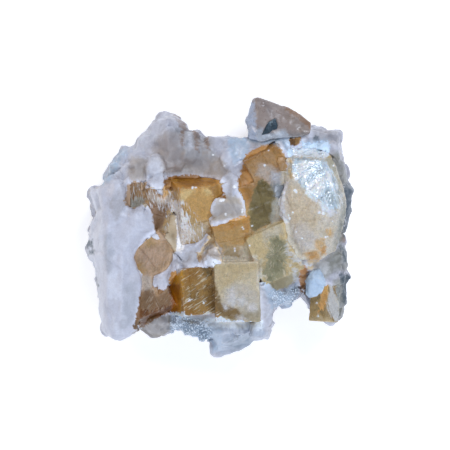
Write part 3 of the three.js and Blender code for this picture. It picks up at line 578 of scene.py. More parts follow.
def painted(tree, colour, patches, mm, stray):
    """Lays the patches over a colour, each with its mottling and its broken edge.
    The weaker a patch, the more of it the mottling takes away."""
    mottles = {}
    for patch, shade, strength, size, soft, outlines in patches:
        if size not in mottles:
            mottles[size] = add(tree, "ShaderNodeTexNoise", {"noise_dimensions": "4D"}, {
                "Vector": mm, "W": 3 + size, "Scale": 1 / size, "Detail": 5, "Roughness": 0.62})
        depth = add(tree, "ShaderNodeAttribute", {"attribute_name": patch}, {}, "Fac")
        depth = add(tree, "ShaderNodeMath", {"operation": "ADD"}, {0: depth, 1: stray})
        mask = add(tree, "ShaderNodeMapRange", {"interpolation_type": "SMOOTHSTEP"}, {
            "Value": depth, "From Min": -soft / 2, "From Max": soft / 2})
        mottle = add(tree, "ShaderNodeMapRange", {}, {
            "Value": mottles[size], "From Min": 0.3, "From Max": 0.58,
            "To Min": strength * max(0.35, 4 * strength - 3), "To Max": strength})
        share = add(tree, "ShaderNodeMath", {"operation": "MULTIPLY"}, {0: mask, 1: mottle})
        colour = add(tree, "ShaderNodeMix", {"data_type": "RGBA"}, {0: share, 6: colour, 7: linear(shade)}, 2)
    return colour


def neighbours(piece, nodes, reach):
    """For each point: its distance from the other solids, how high they stand there, or -1 where none
    does, and the way there."""
    tree = solid_tree(nodes)
    count = len(piece.data.vertices)
    gaps = np.full(count, reach)
    tops = np.full(count, -1.0)
    ways = np.zeros((count, 3))
    for i, vertex in enumerate(piece.data.vertices):
        place = vertex.co / MM
        found, _, _, gap = tree.find_nearest(place, reach)
        if found is None:
            continue
        gaps[i] = gap
        way = found - place
        way.z = 0
        if way.length > 1e-6:
            ways[i] = way * min(1, 2 * way.length / gap) / way.length
            way.normalize()
        above = tree.ray_cast(found + NEIGHBOUR_IN * way + Vector((0, 0, SKY)), Vector((0, 0, -1)))
        if above[0] is not None:
            tops[i] = above[0].z
    return gaps, tops, ways


def jointed(piece, own):
    """Keeps how near each point is to another solid, for its material to paint light into the joint."""
    gaps = neighbours(piece, [node for node in sorted(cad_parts) if node != own], JOINT_REACH)[0]
    kept(piece, "joint", 1 - np.clip((gaps - JOINT_FULL) / JOINT_FADE, 0, 1))


def leaned(points, gaps, ways, past, seed):
    """Points beside another solid moved over to it and `past` mm into it, with a broken edge."""
    near = np.clip(1 - (gaps - LEAN_FULL) / LEAN_FADE, 0, 1)
    push = near * (gaps + past * (1 + LAP_BREAK * swell(points, LAP_BREAK_SIZE, seed)))
    return points + push[:, None] * ways


specimen = solid_tree(sorted(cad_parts))
fluorite_nodes = sorted(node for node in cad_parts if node.startswith("fluorite"))
matrix = even_copy("calcite_matrix_rock", "calcite_matrix", MATRIX_VOXEL, 3)
points = places(matrix)
gaps, tops, ways = neighbours(matrix, fluorite_nodes, LEVEL_REACH)
standing = tops > 0
beside = np.clip((LEVEL_REACH - gaps) / (LEVEL_REACH - LEVEL_FULL), 0, 1) ** LEVEL_BEND * standing
over = np.clip(points[:, 2] - tops - LEVEL_PROUD, 0, None) * standing
points[:, 2] -= LEVEL_DOWN * beside * over
under = np.clip(tops + LEVEL_PROUD - points[:, 2], 0, FILL_MOST) * standing
under *= points[:, 2] > tops - FILL_BELOW
points[:, 2] += LEVEL_UP * beside * under * np.clip(facings(matrix)[:, 2] / FILL_FACING, 0, 1)
points = leaned(points, gaps, ways, LAP, 8)
seated = 1 - np.clip((gaps - SEAT_FULL) / SEAT_FADE, 0, 1)
gaps, _, ways = neighbours(matrix, ["calcite_block_clear", "calcite_chip_white"], SEAT_FULL + SEAT_FADE)
points = leaned(points, gaps, ways, LAP, 9)
seated = np.maximum(seated, 1 - np.clip((gaps - SEAT_FULL) / SEAT_FADE, 0, 1))
for spot, reach, shift in EDGE_SHIFTS:
    share = np.clip(1 - np.linalg.norm(points[:, :2] - np.array(spot), axis=1) / reach, 0, 1)
    points += (share * (2 - share))[:, None] * np.array(shift)
facing = facings(matrix)
moved(matrix, points)
crust = within(points[:, :2], CRUST_PATCHES, CRUST_EDGE)
slab = within(points[:, :2], [SLAB_PATCH], SLAB_EDGE)
flank = 1 - np.clip(facing[:, 2] / FLANK_FACING, 0, 1)
broken = flank * np.clip((buried(matrix) - BROKEN_FROM) / BROKEN_FADE, 0, 1)
stir = 1 + CRUST_STIR * crust - SLAB_CALM * slab * (1 - broken) + FLANK_STIR * broken
height = sum(rise * facets(points, size, 11 + 7 * k) for k, (size, rise) in enumerate(MATRIX_FACETS))
height += MATRIX_STEPS[1] * steps(points, MATRIX_STEPS[0], 31)
height += MATRIX_GRAIN[1] * swell(points, MATRIX_GRAIN[0], 5) * (1 + CRUST_GRAIN * crust)
height = stir * height + FLANK_SWELL * flank
height *= (1 - SEAT_CALM * seated) * np.clip(points[:, 2] / GROUND_FADE, 0, 1)
moved(matrix, points + height[:, None] * facing)
thin = matrix.modifiers.new("fewer faces", "DECIMATE")
faces_now = sum(len(face.vertices) - 2 for face in matrix.data.polygons)
thin.ratio = min(1.0, MATRIX_TRIANGLES / faces_now)
settled(matrix)
matrix_patches = toned(matrix, MATRIX_PATCHES, MATRIX_FOOT)
matrix_patches += toned(matrix, FLANK_PATCHES, MATRIX_FOOT, FLANK_DROP)
matrix_patches += toned(matrix, SKIN_PATCHES, MATRIX_FOOT, SKIN_DROP)
plan = places(matrix)[:, :2]
kept(matrix, "crust", within(plan, CRUST_PATCHES, CRUST_EDGE))
kept(matrix, "glint", depth_in_spots(plan, BRIGHT_SPOTS))
jointed(matrix, "calcite_matrix")
kept(matrix, "flank", np.clip((buried(matrix) - STAINED_FROM) / BROKEN_FADE, 0, 1))

# Painted light: how much lighter a joint between two crystals is painted than the faces beside it.
JOINT_LIGHT = 0.45
# Clouds on the broken flanks: size in mm, where the cloud begins and is full, strength, colour.
FLANK_STAINS = [(8.0, 0.45, 0.62, 0.75, "#a3a7b2"), (5.0, 0.52, 0.66, 0.6, "#b7a58f"),
                (2.2, 0.55, 0.68, 0.55, "#7d8691"), (3.4, 0.56, 0.68, 0.5, "#eef1f8")]
# Colour of the painted highlights on small faces.
CALCITE_GLINT = "#fbfdff"

# Massive calcite, as grown and cleaved: waxy to glassy, lit from within, with clouds a few millimetres
# across, smoky where it is clear, and brown along some edges, with painted light in its joints.
def calcite(name, milk, grey, white, patches, roughness, glow, clear=0.0):
    """A calcite surface: clouds, stains, cleavage glints and fine grain."""
    material = bpy.data.materials.new(name)
    material.use_nodes = True
    tree = material.node_tree
    tree.nodes.clear()
    place = add(tree, "ShaderNodeTexCoord", {}, {}, "Object")
    mm = add(tree, "ShaderNodeVectorMath", {"operation": "SCALE"}, {0: place, "Scale": 1000})
    # Clouds 6 mm across in the body, and white veils of 3 mm over them.
    cloud = add(tree, "ShaderNodeTexNoise", {}, {
        "Vector": mm, "Scale": 1 / 6, "Detail": 4, "Roughness": 0.6, "Distortion": 0.6})
    cloud = add(tree, "ShaderNodeMapRange", {"interpolation_type": "SMOOTHSTEP"},
                {"Value": cloud, "From Min": 0.38, "From Max": 0.66})
    colour = add(tree, "ShaderNodeMix", {"data_type": "RGBA"},
                 {0: cloud, 6: linear(milk), 7: linear(grey)}, 2)
    veil = add(tree, "ShaderNodeTexNoise", {}, {
        "Vector": mm, "Scale": 1 / 3, "Detail": 5, "Roughness": 0.55, "Distortion": 1.0})
    veil = add(tree, "ShaderNodeMapRange", {}, {
        "Value": veil, "From Min": 0.50, "From Max": 0.74, "To Max": 0.5})
    colour = add(tree, "ShaderNodeMix", {"data_type": "RGBA"}, {0: veil, 6: colour, 7: linear(white)}, 2)
    # Broken flanks are smoked grey in large clouds and stained by iron in smaller ones.
    flank = add(tree, "ShaderNodeAttribute", {"attribute_name": "flank"}, {}, "Fac")
    for size, low, high, most, stain in FLANK_STAINS:
        cloud = add(tree, "ShaderNodeTexNoise", {"noise_dimensions": "4D"}, {
            "Vector": mm, "W": size, "Scale": 1 / size, "Detail": 6, "Roughness": 0.68, "Distortion": 1.2})
        cloud = add(tree, "ShaderNodeMapRange", {"interpolation_type": "SMOOTHSTEP"},
                    {"Value": cloud, "From Min": low, "From Max": high, "To Max": most})
        cloud = add(tree, "ShaderNodeMath", {"operation": "MULTIPLY"}, {0: cloud, 1: flank})
        colour = add(tree, "ShaderNodeMix", {"data_type": "RGBA"}, {0: cloud, 6: colour, 7: linear(stain)}, 2)
    # Patch edges wander by half a millimetre.
    stray = add(tree, "ShaderNodeTexNoise", {}, {
        "Vector": mm, "Scale": 1 / 1.3, "Detail": 3, "Roughness": 0.6})
    stray = add(tree, "ShaderNodeMapRange", {}, {
        "Value": stray, "From Min": 0.3, "From Max": 0.7, "To Min": -0.6, "To Max": 0.6})
    colour = painted(tree, colour, patches, mm, stray)
    # Sugary speckle of 0.6 mm.
    speckle = add(tree, "ShaderNodeTexNoise", {}, {
        "Vector": mm, "Scale": 1 / 0.6, "Detail": 3, "Roughness": 0.6})
    speckle = add(tree, "ShaderNodeMapRange", {}, {
        "Value": speckle, "From Min": 0.3, "From Max": 0.7, "To Min": 0.92, "To Max": 1.06})
    # Painted light: the bottom of a joint between two crystals is painted lighter, as if light came through
    # to it.
    joint = add(tree, "ShaderNodeAttribute", {"attribute_name": "joint"}, {}, "Fac")
    speckle = add(tree, "ShaderNodeMath", {"operation": "MULTIPLY_ADD"},
                  {0: joint, 1: JOINT_LIGHT, 2: speckle})
    colour = add(tree, "ShaderNodeMix", {"data_type": "RGBA", "blend_type": "MULTIPLY"},
                 {0: 1.0, 6: colour, 7: speckle}, 2)
    # Painted highlights: a few small faces catch the light.
    glint = add(tree, "ShaderNodeAttribute", {"attribute_name": "glint"}, {}, "Fac")
    glint = add(tree, "ShaderNodeMath", {"operation": "MULTIPLY_ADD"}, {0: stray, 1: 0.5, 2: glint})
    glint = add(tree, "ShaderNodeMapRange", {}, {"Value": glint, "From Min": -0.1, "From Max": 0.2})
    colour = add(tree, "ShaderNodeMix", {"data_type": "RGBA"},
                 {0: glint, 6: colour, 7: linear(CALCITE_GLINT)}, 2)
    # Cleavage steps 1.3 mm apart and sugary grain of 0.35 mm.
    ledge = add(tree, "ShaderNodeTexVoronoi", {"distance": "CHEBYCHEV"},
                {"Vector": mm, "Scale": 1 / 1.3, "Randomness": 0.9}, "Distance")
    grain = add(tree, "ShaderNodeTexNoise", {}, {"Vector": mm, "Scale": 1 / 0.35, "Detail": 3})
    lay = add(tree, "ShaderNodeBump", {}, {"Strength": 0.25, "Distance": 0.0001, "Height": ledge})
    lay = add(tree, "ShaderNodeBump", {}, {
        "Strength": 0.3, "Distance": 0.00006, "Height": grain, "Normal": lay})
    gloss = add(tree, "ShaderNodeTexNoise", {}, {"Vector": mm, "Scale": 1 / 2.6, "Detail": 4})
    gloss = add(tree, "ShaderNodeMapRange", {}, {"Value": gloss, "From Min": 0.3, "From Max": 0.7,
                                                 "To Min": roughness - 0.14, "To Max": roughness + 0.16})
    shader = add(tree, "ShaderNodeBsdfPrincipled", {}, {
        "Base Color": colour, "Roughness": gloss, "Normal": lay, "IOR": 1.6,
        "Transmission Weight": clear, "Subsurface Weight": glow,
        "Subsurface Radius": (1.0, 0.92, 0.85), "Subsurface Scale": 0.002})
    add(tree, "ShaderNodeOutputMaterial", {}, {"Surface": shader})
    return material


milky_calcite = calcite("milky calcite as grown", "#c7c8d2", "#abaab4", "#dfe2ea", matrix_patches,
                        0.42, 0.35)
matrix.data.materials.append(milky_calcite)
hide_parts("calcite_matrix")
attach(matrix, "root")

# --------------------------------------------------------------------
# Calcite druse. Two thumbnail-sized areas of the broken skirt, in front and at the lower right, carry a
# crust of calcite crystals up to about a millimetre across. They grew on the matrix late, each a small
# rhomb, half sunk in what it grew on.
# --------------------------------------------------------------------

# How near two crystals may grow, how many would fit on a square metre at most, and their edges.
DRUSE_SPACING = 0.6
DRUSE_MOST = 4.0e6
DRUSE_SMALLEST = 0.2
DRUSE_LARGEST = 0.58
# A crystal's lean, as a share of its edge, and its bevel, as it is before it is scaled.
DRUSE_SHEAR = 0.27
DRUSE_BEVEL = 0.07
DRUSE_SEED = 4
# It grows where the bed is mostly crust, doesn't face down, and stands this high above the ground.
DRUSE_CRUST = 0.5
DRUSE_FACING = -0.1
DRUSE_FOOT = 6
FULL_TURN = (6.283, 6.283, 6.283)

crystal_mesh = bpy.data.meshes.new("druse crystal")
shape = bmesh.new()
bmesh.ops.create_cube(shape, size=MM)
for tip in shape.verts:
    x, y, z = tip.co
    tip.co = (x + DRUSE_SHEAR * (y + z), y + DRUSE_SHEAR * z, z)
bmesh.ops.bevel(shape, geom=shape.edges[:], offset=DRUSE_BEVEL * MM, segments=1, affect="EDGES")
shape.to_mesh(crystal_mesh)
shape.free()
druse_crystal = placed("druse_crystal", crystal_mesh)

bed = bmesh.new()
bed.from_mesh(matrix.data)
crusted = bed.verts.layers.float["crust"]
off_bed = [face for face in bed.faces
           if min(v[crusted] for v in face.verts) < DRUSE_CRUST or face.normal.z < DRUSE_FACING
           or face.calc_center_median().z < DRUSE_FOOT * MM]
bmesh.ops.delete(bed, geom=off_bed, context="FACES")
bed_mesh = bpy.data.meshes.new("druse bed")
bed.to_mesh(bed_mesh)
bed.free()
druse_bed = placed("druse_bed", bed_mesh)

growth = bpy.data.node_groups.new("druse growth", "GeometryNodeTree")
inputs = {}
for label, kind in (("Bed", "Geometry"), ("Crystal", "Object"), ("Spacing", "Float"),
                    ("Smallest", "Float"), ("Largest", "Float"), ("Finish", "Material")):
    inputs[label] = growth.interface.new_socket(label, in_out="INPUT", socket_type="NodeSocket" + kind)
growth.interface.new_socket("Druse", in_out="OUTPUT", socket_type="NodeSocketGeometry")
given = growth.nodes.new("NodeGroupInput")
sites = add(growth, "GeometryNodeDistributePointsOnFaces", {"distribute_method": "POISSON"}, {
    "Mesh": given.outputs["Bed"], "Distance Min": given.outputs["Spacing"], "Density Max": DRUSE_MOST,
    "Seed": DRUSE_SEED})
seed_crystal = add(growth, "GeometryNodeObjectInfo", {}, {"Object": given.outputs["Crystal"]}, "Geometry")
turns = add(growth, "FunctionNodeRandomValue", {"data_type": "FLOAT_VECTOR"},
            {0: (0, 0, 0), 1: FULL_TURN, "Seed": DRUSE_SEED + 1}, 0)
sizes = add(growth, "FunctionNodeRandomValue", {"data_type": "FLOAT"},
            {2: given.outputs["Smallest"], 3: given.outputs["Largest"], "Seed": DRUSE_SEED + 2}, 1)
grown = add(growth, "GeometryNodeInstanceOnPoints", {}, {
    "Points": sites, "Instance": seed_crystal, "Rotation": turns, "Scale": sizes})
grown = add(growth, "GeometryNodeRealizeInstances", {}, {"Geometry": grown})
grown = add(growth, "GeometryNodeSetMaterial", {}, {"Geometry": grown, "Material": given.outputs["Finish"]})
add(growth, "NodeGroupOutput", {}, {"Druse": grown})

# Druse calcite, bare small faces: clear to white, glassy, painted a cool blue-white all over for the sky it
# faces.
druse_calcite = calcite("druse calcite, glassy", "#e6f2ff", "#d6e6f6", "#f4f9ff", [], 0.35, 0.4)
sprout = druse_bed.modifiers.new("druse", "NODES")
sprout.node_group = growth
for label, value in (("Crystal", druse_crystal), ("Spacing", DRUSE_SPACING * MM), ("Finish", druse_calcite),
                     ("Smallest", DRUSE_SMALLEST), ("Largest", DRUSE_LARGEST)):
    sprout[inputs[label].identifier] = value
druse_bed.update_tag()
view = bpy.context.evaluated_depsgraph_get()
druse_mesh = bpy.data.meshes.new_from_object(druse_bed.evaluated_get(view))
druse_mesh.name = "calcite_druse"
druse = placed("calcite_druse", druse_mesh)
for helper in (druse_bed, druse_crystal):
    bpy.data.objects.remove(helper)
moved(druse, places(druse))
kept(druse, "glint", np.full(len(places(druse)), -FAR_OUT))
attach(druse, "root")

# --------------------------------------------------------------------
# Clear calcite block. A smoky cleavage block at the upper edge, clearer than the matrix, with a brown
# bevel along its outer edge and a frosted foot where it breaks away from the matrix.
# --------------------------------------------------------------------

BLOCK_VOXEL = 0.34
# Its cleaved flats, each as size and height, and how far it stands out with them.
BLOCK_FLATS = [(6.0, 0.3), (2.2, 0.07)]
BLOCK_SWELL = 0.15
BLOCK_PATCHES = [
    ("brown", "#8b7a6c", 0.7, 2.4, 2.2, [
        [(22, 38.5), (26, 35.5), (29.5, 32.5), (29, 30.5), (25.5, 32), (23, 35.5)],
    ]),
    ("slate", "#66737d", 0.55, 1.2, 2.6, [
        [(12.5, 33), (17.5, 30.5), (22, 32), (30, 31), (30, 26), (12, 26)],
    ]),
    ("frosted", "#b9c4d2", 0.8, 1.6, 2.0, [
        [(9, 33), (13, 33.5), (17.5, 31.5), (21.5, 33), (23.5, 30), (22, 27.5), (9, 27)],
    ]),
    ("cool", "#b7c4da", 0.9, 2.4, 1.4, [
        [(8, 36.5), (9, 42), (11.2, 42.5), (12, 36.5), (12, 29), (8, 28)],
    ]),
    # Brown along the bevel of its outer edge.
    ("rust", "#8b6544", 0.9, 2.4, 1.0, [
        [(21, 41.8), (26, 40.6), (33, 34), (30.6, 32.6), (26, 36.6), (22, 39.6)],
    ]),
]


def cleaved(points, flats, seed):
    """Heights of a surface cleaved into flats of several sizes, each given as its size and height."""
    return sum(rise * facets(points, size, seed + 2 * k) for k, (size, rise) in enumerate(flats))


block = even_copy("calcite_block_smoky", "calcite_block_clear", BLOCK_VOXEL, 4)
points = places(block)
height = cleaved(points, BLOCK_FLATS, 41) + BLOCK_SWELL
height *= np.clip(points[:, 2] / GROUND_FADE, 0, 1)
moved(block, points + height[:, None] * facings(block))
block_patches = toned(block, BLOCK_PATCHES)
kept(block, "glint", np.full(len(points), -FAR_OUT))
# Clear calcite, cleaved: smoky mauve, glassy, with light going a few millimetres into it.
smoky_calcite = calcite("smoky calcite, cleaved", "#9f9089", "#8d807c", "#b3a8a4", block_patches,
                        0.3, 0.4, 0.12)
block.data.materials.append(smoky_calcite)
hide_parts("calcite_block_clear")
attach(block, "root")

# --------------------------------------------------------------------
# White chip. A loose-looking flake of snowy calcite, fine-grained and opaque, wedged in the cleft at the
# lower right. It is broken all round, and holds on by its foot.
# --------------------------------------------------------------------

CHIP_VOXEL = 0.24
CHIP_FLATS = [(2.4, 0.25), (1.0, 0.12)]
CHIP_SWELL = 0.1

chip = even_copy("calcite_chip_snowy", "calcite_chip_white", CHIP_VOXEL, 3)
points = places(chip)
height = cleaved(points, CHIP_FLATS, 51) + CHIP_SWELL
moved(chip, points + height[:, None] * facings(chip))
kept(chip, "glint", np.full(len(points), -FAR_OUT))
# Snowy calcite, broken: fine-grained, cool white, hardly any gloss.
snowy_calcite = calcite("snowy calcite, broken", "#bdd0e4", "#a5bbd2", "#e4edf6", [], 0.5, 0.35)
chip.data.materials.append(snowy_calcite)
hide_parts("calcite_chip_white")
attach(chip, "root")

# --------------------------------------------------------------------
# Dark grain. A speck of sulphide ore caught in the clear block: nearly black, blue-grey where it shines.
# It was there first, and the calcite grew round it.
# --------------------------------------------------------------------

GRAIN_VOXEL = 0.14
GRAIN_FLATS = [(1.3, 0.16), (0.5, 0.05)]
GRAIN_SWELL = 0.1
# Its upper right is greyer, in plan, with this width of edge.
GREY_EDGE = 1.2
GREY_END = [(15, 37.5), (18, 39.5), (18.5, 36), (17, 34)]

grain = even_copy("ore_grain", "dark_grain", GRAIN_VOXEL, 1)
points = places(grain)
height = cleaved(points, GRAIN_FLATS, 61) + GRAIN_SWELL
moved(grain, points + height[:, None] * facings(grain))
kept(grain, "grey", within(places(grain)[:, :2], [GREY_END], GREY_EDGE))
# Galena, cleaved: dark lead grey with a dull metallic glance and a blue tarnish.
ore = bpy.data.materials.new("galena, tarnished")
ore.use_nodes = True
tree = ore.node_tree
tree.nodes.clear()
place = add(tree, "ShaderNodeTexCoord", {}, {}, "Object")
mm = add(tree, "ShaderNodeVectorMath", {"operation": "SCALE"}, {0: place, "Scale": 1000})
tarnish = add(tree, "ShaderNodeTexNoise", {}, {"Vector": mm, "Scale": 1 / 0.9, "Detail": 5, "Roughness": 0.6})
colour = add(tree, "ShaderNodeMix", {"data_type": "RGBA"},
             {0: tarnish, 6: linear("#0f1c26"), 7: linear("#3d5260")}, 2)
grey = add(tree, "ShaderNodeAttribute", {"attribute_name": "grey"}, {}, "Fac")
speckle = add(tree, "ShaderNodeTexNoise", {}, {"Vector": mm, "Scale": 1 / 0.45, "Detail": 3})
speckle = add(tree, "ShaderNodeMapRange", {}, {"Value": speckle, "From Min": 0.42, "From Max": 0.6})
share = add(tree, "ShaderNodeMath", {"operation": "MULTIPLY"}, {0: grey, 1: speckle})
colour = add(tree, "ShaderNodeMix", {"data_type": "RGBA"}, {0: share, 6: colour, 7: linear("#77868f")}, 2)
ledge = add(tree, "ShaderNodeTexVoronoi", {"distance": "CHEBYCHEV"},
            {"Vector": mm, "Scale": 1 / 0.5}, "Distance")
lay = add(tree, "ShaderNodeBump", {}, {"Strength": 0.6, "Distance": 0.0001, "Height": ledge})
dull = add(tree, "ShaderNodeMapRange", {}, {"Value": tarnish, "To Min": 0.3, "To Max": 0.6})
shader = add(tree, "ShaderNodeBsdfPrincipled", {}, {
    "Base Color": colour, "Metallic": 0.35, "Roughness": dull, "Normal": lay})
add(tree, "ShaderNodeOutputMaterial", {}, {"Surface": shader})
grain.data.materials.append(ore)
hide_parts("dark_grain")
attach(grain, "root")

# --------------------------------------------------------------------
# Fluorite cubes of the middle: six cubes grown through one another, amber above, olive where the light
# comes through them, straw-coloured in front, and one brown with growth lines across its face.
# --------------------------------------------------------------------

CUBE_VOXEL = 0.3
# Growth terraces on a cube's faces: their size along its three directions, and their height.
TERRACES = (2.9, 3.3, 2.7)
TERRACE_RISE = 0.14
SMALL_TERRACES = (1.1, 0.9, 1.2)
SMALL_TERRACE_RISE = 0.08
# Their edges wander by this much, over this length.
TERRACE_WANDER = 0.5
TERRACE_WANDER_SIZE = 3.5
# Swells of a face, each as size and height.
FACE_SWELLS = [(4.5, 0.10), (1.2, 0.06)]
# Chips: how far from an edge, how deep and how long. Bruises: how far from an edge.
CHIP_REACH = 0.9
CHIP_DEPTH = 0.3
CHIP_LENGTH = 1.3
BRUISE_REACH = 0.7
# Relief dies out over this height above the ground, and stops this near to another fluorite body.
CUBE_GROUND_FADE = 2
CUBE_CLEAR = 0.6
# How far off another fluorite body is looked for, and how far a crystal runs into it.
CUBE_REACH = 2.0
CUBE_LAP = 0.25
# Each cube: middle of its upper face, its size, its turn, and the heading and angle it leans by.
MIDDLE_CUBES = [
    ((16.6, 19.0, 33.4), (13.2, 13.4, 14), 28, (125, 17)),
    ((13.9, 7.2, 33.2), (12, 16.5, 14), 18, (198, 9)),
    ((5.0, -5.6, 33.2), (13, 15, 13), 13, (100, 12)),
    ((18.3, -9.1, 34.0), (15, 17.4, 15), 22, (112, 8)),
    ((5.6, -22.1, 34.4), (15.2, 20.4, 15), 1.5, (70, 4)),
    ((-5.9, -21.6, 32.6), (15.6, 16.2, 14), 5, (178, 24)),
]
